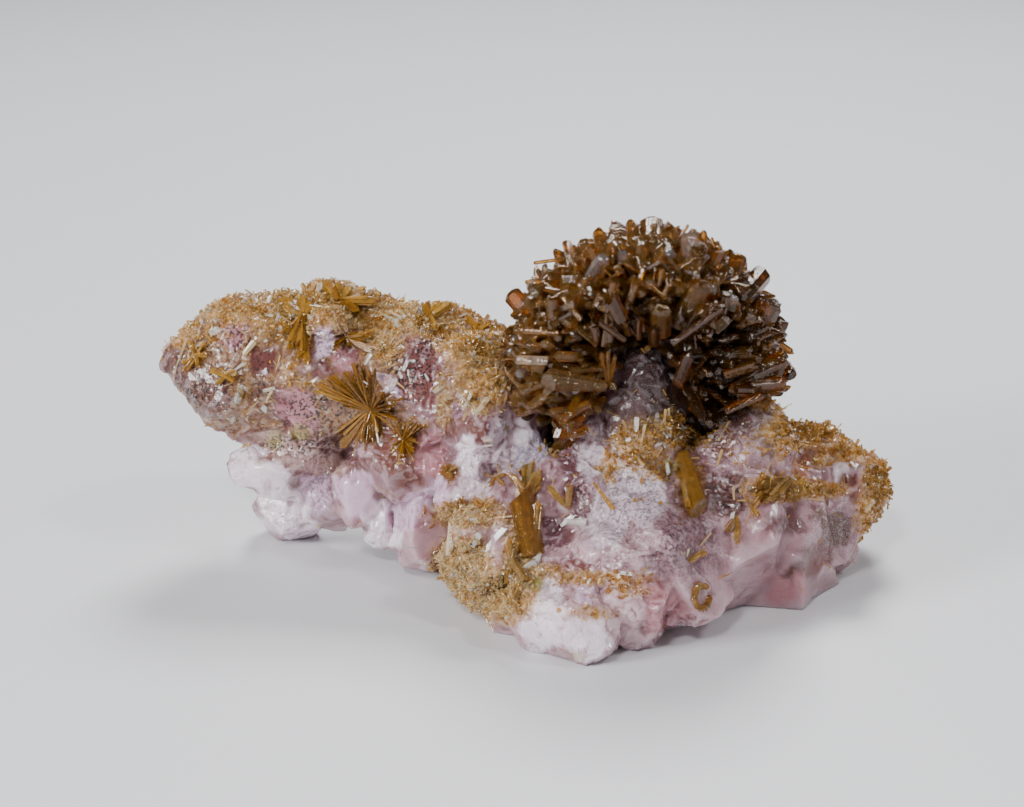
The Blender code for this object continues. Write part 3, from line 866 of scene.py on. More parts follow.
# %% Crusts, stains and specks
CRUST_FLOOR = 12  # millimetres; the back has no crust below this
dusting = 0.3 * wing * np.clip((WING_FOOT - stone_view[:, 1]) / FOOT_BLUR, 0, 1) * (1 - window)
behind = 0.5 * np.clip(stone_normals[:, 2], 0, 1) * (1 - front) * (stone[:, 2] > CRUST_FLOOR)
crusts = np.maximum(area_weight(stone_view, CRUST, 0.6), dusting) * front
store(quartz, "crust", np.maximum(crusts, behind))
store(quartz, "brown", area_weight(stone_view, BROWN, 0.6) * front)
store(quartz, "pepper", area_weight(stone_view, PEPPER, 0.6) * front)
store(quartz, "green", area_weight(stone_view, GREEN) * front)
store(quartz, "sugar", area_weight(stone_view, SUGAR) * front)
store(quartz, "front", front)
GLOOM_AREAS = ((610, 385, 70, 50, 1.0), (700, 400, 70, 46, 1.0))  # in the rosette's own shade
store(quartz, "shade", area_weight(stone_view, GLOOM_AREAS, 0.4))

# %% [markdown]
# The crystals' edges are painted paler than their faces, as painted highlight, and the seams
# between crystals darker, as painted shade. An edge is where a point stands out from the mean of
# its neighbours, and a seam where it lies below it.

# %% Edges and seams, for painted highlight and painted shade
FULL_RIDGE = 0.05  # millimetres above the neighbours
pairs = np.empty(len(quartz.data.edges) * 2, np.int32)
quartz.data.edges.foreach_get("vertices", pairs)
pairs = pairs.reshape(-1, 2)


def ring_mean(values):
    """The mean of each point's neighbours."""
    total, count = np.zeros_like(values), np.zeros(len(values))
    for a, b in ((0, 1), (1, 0)):
        np.add.at(total, pairs[:, a], values[pairs[:, b]])
        np.add.at(count, pairs[:, a], 1)
    return total / (count[:, None] if values.ndim == 2 else count)


ridge = -((ring_mean(stone) - stone) * stone_normals).sum(axis=1)
ridge = 0.5 * ridge + 0.5 * ring_mean(ridge)
store(quartz, "ridge", np.clip(ridge / FULL_RIDGE, -1, 1))
print("ridge spread:", ridge.std())
bpy.ops.object.shade_smooth_by_angle(angle=math.radians(13))

# %% [markdown]
# ### The quartz material
#
# Rose quartz is milky: light goes a little way in and comes out pink. Subsurface light does that,
# under a smooth surface with quartz's own index of refraction. The colour is laid on in layers:
# the face's tint, clouds and veils, sugary grains with painted glitter and painted shade in small
# pits, edges paler as painted highlight and seams darker as painted shade, then crust, rust, green
# lumps and specks, and last the painted shade under the rosette. Noise breaks up each layer, and a
# stored value says where it lies.

# %% Colours of the layers
EDGE_HIGHLIGHT = tint(206, 196, 206)
GLITTER = tint(216, 210, 220)
PIT_SHADE = tint(122, 80, 86)
SEAM_SHADE = tint(104, 58, 60)
STAIN_LIGHT = tint(234, 198, 146)
STAIN_DARK = tint(178, 124, 68)
RUST_LIGHT = tint(150, 102, 48)
RUST_DARK = tint(84, 52, 22)
MOSS = tint(150, 142, 66)
SPECK = tint(42, 36, 36)
GLOOM = tint(60, 42, 38)

# %% Clouds, veils, sugary grains, painted glitter and pit shade, painted edge highlight and seam shade
quartz_stone, tree, shader = material_of("rose_quartz_stone")
place = in_millimetres(tree)
sugar, ridge, crust = [stored(tree, name) for name in ("sugar", "ridge", "crust")]
face_tint = node(tree, "ShaderNodeAttribute", attribute_name="face_tint").outputs["Color"]
clouds = ramp(tree, noise(tree, place, 0.45, 4.0, 0.55), 0.34, 0.66, 1.06, 0.91)
veils = ramp(tree, noise(tree, place, 1.3, 5.0, 0.7), 0.34, 0.66, 0.97, 1.05)
colour = blend(tree, 1.0, face_tint, clouds, "MULTIPLY")
colour = blend(tree, 1.0, colour, veils, "MULTIPLY")
# Painted glitter: pale specks on the sugary grains.
sparkle = ramp(tree, noise(tree, place, 6.0, 1.0, 0.5), 0.51, 0.60)
sparkle = maths(tree, "MULTIPLY", sparkle, ramp(tree, sugar, 0, 1, 0.03, 0.40))
colour = blend(tree, sparkle, colour, GLITTER)
# Painted shade in small pits among the sugary grains.
painted_pit_shade = ramp(tree, noise(tree, place, 5.0, 1.0, 0.5), 0.42, 0.50, 1, 0)
painted_pit_shade = maths(tree, "MULTIPLY", painted_pit_shade, ramp(tree, sugar, 0, 1, 0.06, 0.28))
colour = blend(tree, painted_pit_shade, colour, PIT_SHADE)
# Painted highlight on the edges and painted shade in the seams.
colour = blend(tree, ramp(tree, ridge, 0.15, 0.9, 0, 0.22), colour, EDGE_HIGHLIGHT)
colour = blend(tree, ramp(tree, ridge, -0.2, -1.0, 0, 0.45), colour, SEAM_SHADE)

# %% Crust, rust, green lumps, specks and shade
grains = ramp(tree, noise(tree, place, 2.6, 4.0, 0.7), 0.35, 0.65)
patchy = ramp(tree, noise(tree, place, 0.8, 4.0, 0.6), 0.32, 0.52)
stain = blend(tree, grains, STAIN_DARK, STAIN_LIGHT)
cover = maths(tree, "MULTIPLY", crust, ramp(tree, patchy, 0, 1, 0.45, 1.1))
colour = blend(tree, ramp(tree, cover, 0.1, 0.8, 0, 0.95), colour, stain)
rust = blend(tree, grains, RUST_DARK, RUST_LIGHT)
brown = maths(tree, "MULTIPLY", stored(tree, "brown"), ramp(tree, patchy, 0, 1, 0.6, 1.2))
colour = blend(tree, ramp(tree, brown, 0.15, 0.8, 0, 0.9), colour, rust)
colour = blend(tree, ramp(tree, stored(tree, "green"), 0.2, 0.8, 0, 0.85), colour, MOSS)
specks = ramp(tree, noise(tree, place, 3.0, 1.5, 0.5), 0.53, 0.56)
crowd = ramp(tree, noise(tree, place, 0.5, 2.0, 0.5), 0.26, 0.44)
specks = maths(tree, "MULTIPLY", specks, maths(tree, "MULTIPLY", stored(tree, "pepper"), crowd))
colour = blend(tree, maths(tree, "MULTIPLY", specks, 0.95), colour, SPECK)
colour = blend(tree, maths(tree, "MULTIPLY", stored(tree, "shade"), 0.6), colour, GLOOM)
tree.links.new(colour, shader.inputs["Base Color"])

# %% Gloss, depth and the relief of tiny crystal ends
gloss = ramp(tree, noise(tree, place, 1.1, 4.0, 0.6), 0.3, 0.7, 0.06, 0.26)
tree.links.new(gloss, shader.inputs["Roughness"])
shader.inputs["Subsurface Weight"].default_value = 0.6
shader.inputs["Subsurface Radius"].default_value = (1.0, 0.72, 0.76)
shader.inputs["Subsurface Scale"].default_value = 0.004
shader.inputs["IOR"].default_value = 1.54
bump = node(tree, "ShaderNodeBump")
bump.inputs["Strength"].default_value = 1.0
bump.inputs["Distance"].default_value = MM
on_show = ramp(tree, stored(tree, "front"), 0, 1, 0.08, 0.2)
small_ends = crystal_ends(tree, place, 0.32)
small_ends = maths(tree, "MULTIPLY", small_ends, ramp(tree, sugar, 0, 1, 0.10, 0.42))
broad_ends = maths(tree, "MULTIPLY", crystal_ends(tree, place, 1.5), on_show)
grain = noise(tree, place, 5.5, 2.0, 0.6)
grain = maths(tree, "MULTIPLY", grain, ramp(tree, sugar, 0, 1, 0.015, 0.06))
height = maths(tree, "ADD", maths(tree, "ADD", small_ends, broad_ends), grain)
tree.links.new(height, bump.inputs["Height"])
tree.links.new(bump.outputs["Normal"], shader.inputs["Normal"])

# %% The finished stone stands for its solid
quartz.data.materials.append(quartz_stone)
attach(quartz, "root")
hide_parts("rose_quartz")
print("quartz material:", len(tree.nodes), "nodes")

# %% [markdown]
# ### Putting things on the stone
#
# A crystal that is placed by where it shows starts where the line of sight meets the stone. Past
# the stone's edge it starts as near to it as the line comes.

# %% From a place in the view to a point on the stone
MOST_STRETCH = 2.2  # longest a crystal may be, as a multiple of the length that it shows
stone_tree = BVHTree.FromObject(quartz, bpy.context.evaluated_depsgraph_get())


def raised(x, y, lift):
    """The point, in millimetres, seen at (x, y) that stands lift in front of the stone."""
    line = sight_line(x, y).normalized()
    hit = stone_tree.ray_cast(EYE * MM, line)[0]
    if hit is None:
        nearest = stone_tree.find_nearest((EYE + line * VIEW_DISTANCE) * MM)[0]
        reach = (nearest / MM - EYE).dot(line)
        return EYE + line * (reach - lift)
    return hit / MM - line * lift


def kept_near(tip, base, start, end):
    """The tip, or where it would land far behind the base, a tip as deep as the base."""
    shown = math.hypot(end[0] - start[0], end[1] - start[1]) / UNITS_PER_MM
    if (tip - base).length > MOST_STRETCH * shown:
        return EYE + sight_line(*end) * (base.dot(FORWARD) - EYE.dot(FORWARD))
    return tip


# %% [markdown]
# ## One crystal, used many times
#
# An eosphorite prism has a flat, grooved cross-section and ends in a chisel or a low pyramid.
# One could be extruded from a circle by hand, and copied. But there are over 20,000, each of its
# own length and width, so the prism is shaped once as a pattern of points: where each lies
# across the prism, how far along it, and how much it drops below the tip. Every crystal
# stretches the pattern to its own size, and many crystals make one mesh.


# %% Patterns of a prism
class Pattern:
    """Points of one prism: across and through in widths, along in lengths, drop in widths."""

    def __init__(self, sides, end, groove, foot, seed):
        rng = np.random.default_rng(seed)
        ring = []
        for i in range(sides):
            angle = 2 * math.pi * (i + 0.5) / sides
            x, y = math.cos(angle), math.sin(angle)
            reach = 0.5 / max(abs(x), abs(y)) ** 0.9 * (1 + groove * rng.uniform(-1, 1))
            ring.append((np.clip(x * reach, -0.5, 0.5), np.clip(y * reach, -0.5, 0.5)))
        ring = np.array(ring)
        level = np.zeros(sides)
        rows = [(ring * foot, 0.0, level)]
        top = None
        if end == "chisel":
            rows.append((ring, 1.0, 0.12 + 0.9 * abs(ring[:, 0])))
            top = ((0.0, 0.24), (0.0, -0.24))
        elif end == "pyramid":
            rows.append((ring, 1.0, 0.35 + 0.25 * abs(ring[:, 0]) + 0.1 * abs(ring[:, 1])))
            top = ((0.04, 0.03), (-0.04, -0.03))
        elif end == "slant":
            rows.append((ring, 1.0, 0.3 + 0.6 * ring[:, 0]))
        else:
            rows.append((ring, 1.0, 0.14 + 0.10 * abs(ring[:, 1])))
            rows.append((ring * 0.72, 1.0, level))
        across, along, drop = [], [], []
        for points, share, fall in rows:
            across += [tuple(p) for p in points]
            along += [share] * sides
            drop += list(fall)
        faces = []
        for row in range(len(rows) - 1):
            a, b = row * sides, (row + 1) * sides
            for i in range(sides):
                j = (i + 1) % sides
                faces.append((a + i, a + j, b + j, b + i))
        last = (len(rows) - 1) * sides
        if top:
            one, two = len(across), len(across) + 1
            across += top
            along += [1.0, 1.0]
            drop += [0.0, 0.0]
            for i in range(sides):
                j = (i + 1) % sides
                left, right = ring[i][1] >= 0, ring[j][1] >= 0
                if left == right:
                    faces.append((last + i, last + j, one if left else two))
                elif left:
                    faces.append((last + i, last + j, two, one))
                else:
                    faces.append((last + i, last + j, one, two))
        else:
            faces.append(tuple(range(last, last + sides)))
        faces.append(tuple(reversed(range(sides))))
        self.across = np.array(across)
        self.along = np.array(along)
        self.drop = np.array(drop)
        self.faces = faces


CHISEL = Pattern(8, "chisel", 0.08, 0.95, 1)
PYRAMID = Pattern(8, "pyramid", 0.08, 0.95, 2)
FLAT = Pattern(8, "flat", 0.08, 1.0, 3)
SLANT = Pattern(8, "slant", 0.06, 0.95, 4)
TAPER = Pattern(8, "chisel", 0.08, 0.45, 9)
STOUT = [CHISEL, PYRAMID, FLAT, SLANT]
NEEDLE = [Pattern(4, "pyramid", 0.0, 0.9, 5), Pattern(5, "chisel", 0.0, 0.9, 6)]
BAR = [Pattern(4, "slant", 0.0, 0.85, 10), Pattern(6, "flat", 0.0, 0.85, 11)]
BLADE = [Pattern(6, "chisel", 0.05, 0.5, 7), Pattern(6, "pyramid", 0.05, 0.6, 8)]
print("points of a chisel-ended prism:", len(CHISEL.along))


# %% Many prisms as one mesh
LOWEST_POINT = 0.05  # millimetres, so that no crystal goes into the floor


class Cluster:
    """Collects crystals and makes them one mesh."""

    def __init__(self, name):
        self.name = name
        self.points, self.faces, self.tints, self.uv = [], [], [], []
        self.crystals = self.total = 0

    def add(self, pattern, base, tip, width, thick, turn, tint):
        """One crystal from base to tip, in millimetres, turned about its own length."""
        axis = tip - base
        length = axis.length
        axis = axis / length
        helper = FORWARD if abs(axis.dot(FORWARD)) < 0.95 else UPWARD
        side = Matrix.Rotation(turn, 3, axis) @ axis.cross(helper).normalized()
        front = axis.cross(side)
        along = pattern.along * length - pattern.drop * width
        along = np.where(pattern.along > 0, np.maximum(along, 0.1 * length), along)
        places = (
            np.array(base)
            + np.outer(pattern.across[:, 0] * width, side)
            + np.outer(pattern.across[:, 1] * thick, front)
            + np.outer(along, axis)
        )
        places[:, 2] = np.maximum(places[:, 2], LOWEST_POINT)
        self.points.append(places)
        self.tints += [tint] * len(places)
        angle = np.arctan2(pattern.across[:, 1], pattern.across[:, 0])
        around = angle / math.pi * (width + thick) + self.crystals * 7.3
        for face in pattern.faces:
            self.faces.append(tuple(self.total + i for i in face))
            self.uv += [(around[i], along[i]) for i in face]
        self.crystals += 1
        self.total += len(places)

    def finish(self, material, replaced=()):
        mesh = bpy.data.meshes.new(self.name)
        mesh.from_pydata(np.concatenate(self.points) * MM, [], self.faces)
        layer = mesh.uv_layers.new(name="along_crystal")
        layer.data.foreach_set("uv", np.array(self.uv, np.float32).ravel())
        obj = bpy.data.objects.new(self.name, mesh)
        scene.collection.objects.link(obj)
        store(obj, "tint", self.tints)
        mesh.materials.append(material)
        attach(obj, "root")
        if replaced:
            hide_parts(*replaced)
        triangles = sum(len(face) - 2 for face in self.faces)
        print(self.name, self.crystals, "crystals,", triangles, "triangles")


# %% [markdown]
# ### What the crystals are made of
#
# Eosphorite is clear and brown: light goes in, loses its blue and green on the way, and comes
# out amber. So the shader transmits, and a volume absorbs. Each crystal's own tint picks a place
# between dark brown, amber, straw and white. Two effects are the same in every one of these
# materials and are node groups: darker patches inside, and fine growth lines along the prism,
# which follow its own UV map.

# %% Two effects that all the crystals share
dark_patches, start, end = new_group(
    "dark_patches",
    {"Colour": "NodeSocketColor", "Dark": "NodeSocketColor", "Amount": "NodeSocketFloat"},
    "Colour",
    "NodeSocketColor",
)
patches = noise(dark_patches, in_millimetres(dark_patches), 1.4, 3.0)
patches = ramp(dark_patches, patches, 0.40, 0.62)
amount = maths(dark_patches, "MULTIPLY", patches, start.outputs["Amount"])
patched = blend(dark_patches, amount, start.outputs["Colour"], start.outputs["Dark"])
dark_patches.links.new(patched, end.inputs["Colour"])

growth_lines, start, end = new_group(
    "growth_lines", {"Fineness": "NodeSocketFloat"}, "Height", "NodeSocketFloat"
)
along = node(growth_lines, "ShaderNodeUVMap", uv_map="along_crystal")
stretch = node(growth_lines, "ShaderNodeMapping")
stretch.inputs["Scale"].default_value = (6.0, 0.4, 1.0)
growth_lines.links.new(along.outputs["UV"], stretch.inputs["Vector"])
lines = noise(growth_lines, stretch.outputs["Vector"], 1.0, 3.0, 0.6)
growth_lines.links.new(start.outputs["Fineness"], lines.node.inputs["Scale"])
growth_lines.links.new(lines, end.inputs["Height"])


# %% The eosphorite materials
def crystal_material(name, shades, clear, absorb, density, roughness):
    made, tree, shader = material_of(name)
    steps = node(tree, "ShaderNodeValToRGB")
    steps.color_ramp.elements.remove(steps.color_ramp.elements[0])
    for i, (position, shade) in enumerate(shades):
        stop = steps.color_ramp.elements[0] if i == 0 else steps.color_ramp.elements.new(position)
        stop.position = position
        stop.color = shade
    tree.links.new(stored(tree, "tint"), steps.inputs["Fac"])
    dark = tuple(c * 0.35 for c in shades[0][1][:3]) + (1,)
    patched = {"Colour": steps.outputs["Color"], "Dark": dark, "Amount": 0.25}
    tree.links.new(placed(tree, dark_patches, patched), shader.inputs["Base Color"])
    shader.inputs["Transmission Weight"].default_value = clear
    shader.inputs["IOR"].default_value = 1.5
    shader.inputs["Roughness"].default_value = roughness
    bump = node(tree, "ShaderNodeBump")
    bump.inputs["Strength"].default_value = 0.5
    bump.inputs["Distance"].default_value = 0.0001
    tree.links.new(placed(tree, growth_lines, {"Fineness": 1.0}), bump.inputs["Height"])
    tree.links.new(bump.outputs["Normal"], shader.inputs["Normal"])
    if density:
        volume = node(tree, "ShaderNodeVolumeAbsorption")
        volume.inputs["Color"].default_value = absorb
        volume.inputs["Density"].default_value = density
        tree.links.new(volume.outputs["Volume"], tree.nodes["Material Output"].inputs["Volume"])
    return made


# The white end of both lists of shades serves painted glints.
AMBER_SHADES = (
    (0.0, tint(108, 68, 20)),
    (0.35, tint(182, 126, 40)),
    (0.65, tint(222, 172, 76)),
    (0.85, tint(240, 212, 158)),
    (1.0, tint(253, 250, 242)),
)
STRAW_SHADES = (
    (0.0, tint(112, 74, 30)),
    (0.35, tint(194, 138, 56)),
    (0.65, tint(236, 188, 98)),
    (0.85, tint(248, 222, 168)),
    (1.0, tint(253, 251, 246)),
)
BROWN_LIGHT = (0.86, 0.62, 0.15, 1)  # what is left of white light, deep inside
BRONZE_LIGHT = (0.86, 0.62, 0.2, 1)
OLIVE_LIGHT = (0.90, 0.74, 0.46, 1)
amber = crystal_material("amber_eosphorite", AMBER_SHADES, 0.92, BROWN_LIGHT, 2400, 0.04)
bronze = crystal_material("bronze_eosphorite", AMBER_SHADES, 0.55, BRONZE_LIGHT, 1500, 0.08)
olive = crystal_material("olive_eosphorite", STRAW_SHADES, 0.80, OLIVE_LIGHT, 450, 0.03)
straw = crystal_material("straw_eosphorite", STRAW_SHADES, 0.60, (1, 1, 1, 1), 0, 0.03)
print("crystal materials:", [made.name for made in (amber, bronze, olive, straw)])

# %% [markdown]
# ## The rosette
#
# Thousands of prisms radiate from one place and make a dome. A particle system could set them
# out, but each has to be a real piece of mesh, and its lean and its tint depend on where it is.
# So they are set out like seeds on a sunflower, which is even without being regular, in four
# layers: small ones deep down, ones that fill, long ones whose ends make the outline, and
# thin ones between those. The deeper layers get darker tints, as painted shade of the rosette's
# inside. All lean a good way off the straight ray. In the lower front only small dark ones grow,
# where the rosette is hollow round the quartz spike, so their dark tints paint the hollow's shade.

# %% Where the rosette is, and a sunflower's spread, in millimetres
ROSETTE_MIDDLE = seen(646, 368, 3.0)
HOLLOWS = (seen(600, 388, -9.0), seen(718, 395, -9.0), seen(655, 350, -12.0))
HOLLOW_RADIUS = 5.0
GOLDEN_ANGLE = math.pi * (3 - math.sqrt(5))


def sunflower(count, rng, jitter):
    for i in range(count):
        rise = 1 - 2 * (i + 0.5) / count
        ring = math.sqrt(1 - rise * rise)
        angle = i * GOLDEN_ANGLE
        way = Vector((ring * math.cos(angle), ring * math.sin(angle), rise))
        yield (way + Vector(rng.uniform(-jitter, jitter, 3))).normalized()


def hollowness(point):
    """0 outside the hollows, 1 in their middle."""
    nearest = min((point - hollow).length for hollow in HOLLOWS)
    return min(1.0, max(0.0, 1.6 - nearest / HOLLOW_RADIUS))


def on_dome(x, y, radius):
    """Where the line of sight through (x, y) first meets a ball round the rosette's middle."""
    line = sight_line(x, y).normalized()
    nearest = EYE + line * (ROSETTE_MIDDLE - EYE).dot(line)
    off = (nearest - ROSETTE_MIDDLE).length
    if off >= radius:
        return nearest
    return nearest - line * math.sqrt(radius**2 - off**2)


# %% [markdown]
# The quartz stands in front of the rosette's lower part, and no prism may come through it. The
# outline within which the rosette shows is a polygon in the view, and a prism grows only where
# both its ends lie inside it, or behind the rosette's middle, where the dome is left whole.

# %% The rosette's outline in the view
ALL_MAY_SHOW = 4  # millimetres behind the middle
ROSETTE_SHAPE = (
    (498, 412), (490, 360), (498, 290), (545, 250), (566, 225), (650, 205), (715, 228), (780, 262),
    (800, 320), (805, 395), (744, 396), (736, 420), (702, 442), (694, 420), (684, 388), (668, 362),
    (656, 344), (644, 338), (630, 348), (619, 366), (612, 394), (598, 414), (584, 434), (566, 442),
    (545, 414), (520, 416),
)


def may_show(point):
    """Whether a crystal may reach this point."""
    if (point - ROSETTE_MIDDLE).dot(FORWARD) > ALL_MAY_SHOW:
        return True
    return bool(inside_polygon(view_of(np.array([point]))[0], ROSETTE_SHAPE)[0][0])


# %% Grow the rosette, layer by layer
# Painted light and shade: tints are raised on the left, the lower left and the top, where the light
# falls, and lowered in the middle and at the right.
ROSETTE_PAINTED_LIGHT = (
    (520, 345, 36, 70, 0.35),
    (575, 400, 44, 50, 0.42),
    (590, 260, 70, 30, 0.12),
    (660, 240, 60, 16, 0.12),
)
ROSETTE_PAINTED_SHADE = ((640, 322, 80, 34, 0.30), (735, 375, 60, 70, 0.12), (750, 310, 50, 40, 0.32))
LOWEST_WAY = -0.62  # no prism points further down than this
# The white prisms are painted glints.
WHITE_SHARE = 0.03
LIGHTEST = 0.70  # of all but the white ones
LAYERS = (
    # count, base radius, tip radius, lean, widths, tints, most hollowness
    (1500, (6.6, 8.4), (9.4, 11.8), 0.60, (0.5, 1.1), (0.0, 0.40), 2.0),
    (2400, (10.4, 11.8), (12.2, 13.6), 0.75, (0.55, 1.2), (0.20, 0.70), 0.45),
    (1400, (12.1, 13.0), (13.4, 14.6), 0.80, (0.7, 1.5), (0.30, 0.85), 0.05),
    (1200, (12.8, 13.4), (13.8, 14.6), 1.20, (0.25, 0.6), (0.50, 1.00), 0.02),
)
rosette = Cluster("eosphorite_rosette_crystals")
rng = np.random.default_rng(21)
for count, start, reach, lean, widths, tints, most_hollow in LAYERS:
    for way in sunflower(count, rng, 0.10):
        base = ROSETTE_MIDDLE + way * rng.uniform(*start)
        tip = ROSETTE_MIDDLE + way * rng.uniform(*reach)
        off = Vector(rng.normal(size=3)) * lean * (tip - base).length
        tip += off - way * off.dot(way)
        width = rng.uniform(*widths)
        pattern = STOUT[rng.integers(len(STOUT))]
        turn, shade = rng.uniform(0, 6.3), rng.uniform(*tints)
        if hollowness(tip) > most_hollow or way.z < LOWEST_WAY:
            continue
        if not may_show(tip) or not may_show(base):
            continue
        tip_view = view_of(np.array([tip]))[0]
        shade += float(area_weight(tip_view, ROSETTE_PAINTED_LIGHT)[0])
        shade -= float(area_weight(tip_view, ROSETTE_PAINTED_SHADE)[0])
        # A few prisms take the white end of the tints, as painted glints.
        shade = 1.0 if rng.uniform() < WHITE_SHARE else min(shade, LIGHTEST)
        rosette.add(pattern, base, tip, width, width * rng.uniform(0.5, 0.9), turn, shade)
print("prisms in the layers:", rosette.crystals)

# %% [markdown]
# Some forty prisms are listed one by one: the tall one on top, pale flat ends, the long one that
# lies over the lower left. They are placed by where they show, on balls round the rosette's middle,
# which gives them their depth.

# %% The rosette's crystals that stand out, placed one by one
HEROES = (
    # pattern, foot x, y, radius, tip x, y, radius, width, thickness share, tint (white, at 1, is a
    # painted glint)
    (FLAT, 652, 268, 12.5, 651, 220, 14.8, 24, 0.5, 0.62),
    (FLAT, 690, 272, 12.5, 689, 234, 15.0, 17, 0.6, 0.97),
    (CHISEL, 700, 262, 12.5, 704, 231, 14.9, 7, 0.8, 0.5),
    (PYRAMID, 576, 275, 12.5, 566, 240, 15.0, 11, 0.7, 0.6),
    (CHISEL, 602, 262, 12.5, 598, 228, 15.0, 12, 0.7, 0.65),
    (CHISEL, 630, 258, 12.5, 631, 220, 15.0, 10, 0.7, 0.6),
    (FLAT, 728, 286, 12.5, 739, 255, 15.0, 18, 0.7, 0.55),
    (FLAT, 738, 302, 12.5, 763, 273, 15.0, 21, 0.8, 0.35),
    (FLAT, 752, 340, 11.5, 772, 304, 15.0, 24, 0.4, 0.36),
    (FLAT, 752, 372, 12.0, 786, 358, 15.0, 16, 0.7, 0.3),
    (FLAT, 752, 386, 12.0, 786, 383, 15.0, 14, 0.7, 0.3),
    (CHISEL, 760, 340, 12.0, 788, 322, 15.0, 14, 0.7, 0.35),
    (FLAT, 538, 324, 12.0, 511, 294, 15.0, 20, 0.8, 0.5),
    (CHISEL, 534, 297, 12.5, 537, 265, 15.0, 6, 0.8, 1.0),
    (CHISEL, 542, 299, 12.5, 545, 264, 15.0, 6, 0.8, 1.0),
    (FLAT, 678, 326, 10.5, 705, 282, 14.8, 24, 0.8, 0.42),
    (FLAT, 660, 334, 10.5, 661, 308, 14.0, 20, 0.7, 0.5),
    (FLAT, 731, 309, 13.4, 735, 297, 15.1, 9, 0.6, 1.0),
    (FLAT, 747, 323, 13.4, 751, 314, 15.0, 6, 0.6, 0.95),
    (FLAT, 561, 309, 13.4, 573, 304, 15.1, 6, 0.6, 1.0),
    (FLAT, 561, 319, 13.4, 570, 314, 15.1, 5, 0.6, 1.0),
    (TAPER, 606, 386, 9.6, 542, 378, 14.2, 22, 1.0, 0.72),
    (PYRAMID, 592, 374, 9.5, 546, 363, 13.4, 13, 0.7, 0.25),
    (FLAT, 548, 361, 13.4, 516, 360, 15.2, 9, 0.6, 1.0),
    (CHISEL, 654, 344, 10.0, 654, 327, 12.6, 11, 0.8, 0.1),
    (CHISEL, 678, 384, 9.5, 690, 352, 12.4, 12, 0.7, 0.12),
    (PYRAMID, 608, 386, 9.0, 601, 352, 12.0, 4, 0.7, 0.6),
    (PYRAMID, 609, 386, 9.0, 608, 351, 12.0, 4, 0.7, 0.7),
    (PYRAMID, 610, 386, 9.0, 615, 356, 12.0, 4, 0.7, 0.6),
    (SLANT, 577, 420, 9.5, 549, 463, 12.0, 15, 0.6, 0.5),
    (CHISEL, 572, 398, 9.5, 556, 442, 12.6, 14, 0.7, 0.38),
    (CHISEL, 586, 408, 9.5, 572, 444, 12.0, 10, 0.7, 0.3),
    (FLAT, 526, 346, 12.0, 502, 338, 14.6, 14, 0.7, 0.7),
    (FLAT, 524, 378, 12.0, 500, 384, 14.8, 14, 0.7, 0.85),
    (FLAT, 532, 394, 12.0, 508, 404, 14.6, 14, 0.7, 0.7),
    (CHISEL, 538, 404, 11.0, 524, 418, 13.8, 12, 0.7, 0.5),
    (CHISEL, 552, 402, 10.0, 540, 424, 13.4, 12, 0.7, 0.35),
    (CHISEL, 716, 330, 12.0, 728, 318, 14.6, 10, 0.6, 0.9),
    (FLAT, 600, 268, 13.0, 590, 246, 15.0, 12, 0.6, 0.5),
    (SLANT, 712, 268, 13.0, 722, 248, 15.0, 13, 0.6, 0.6),
)
for pattern, x1, y1, r1, x2, y2, r2, width, flatness, shade in HEROES:
    base, tip = on_dome(x1, y1, r1), on_dome(x2, y2, r2)
    wide = width / UNITS_PER_MM
    turn = 0.75 if pattern is TAPER else rng.uniform(-0.5, 0.5)
    rosette.add(pattern, base, tip, wide, wide * flatness, turn, shade)
rosette.finish(amber, ("eosphorite_rosette",))

# %% [markdown]
# Between clear prisms one looks deep into the rosette, where it is dark. Prisms all the way down
# would cost a lot and show little, so a core with a rough, crystalline surface lies there, its dark
# brown painted shade of the prisms deep inside.

# %% The rosette's dark core
CORE_RADIUS, CORE_BACK = 7.8, 3.0
core_place = ROSETTE_MIDDLE + FORWARD * CORE_BACK
bpy.ops.mesh.primitive_ico_sphere_add(
    subdivisions=5, radius=CORE_RADIUS * MM, location=core_place * MM
)
core = bpy.context.object
core.name = "eosphorite_rosette_core"
bpy.ops.object.transform_apply()
core_points = points_of(core)
core_normals = normals_of(core)
core_relief = mesa_relief(core_points / MM, core_normals, step=1.2, height=0.8, steep=1.2, rng=rng)
core_points += core_normals * core_relief[:, None] * MM
put_points(core, core_points)
print("core relief:", core_relief.min(), core_relief.max())
core_brown_and_shade, tree, shader = material_of("core_brown_and_shade")
# The core's dark brown is painted shade of the prisms deep inside.
shader.inputs["Base Color"].default_value = tint(52, 28, 14)
shader.inputs["Roughness"].default_value = 0.35
core.data.materials.append(core_brown_and_shade)
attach(core, "root")
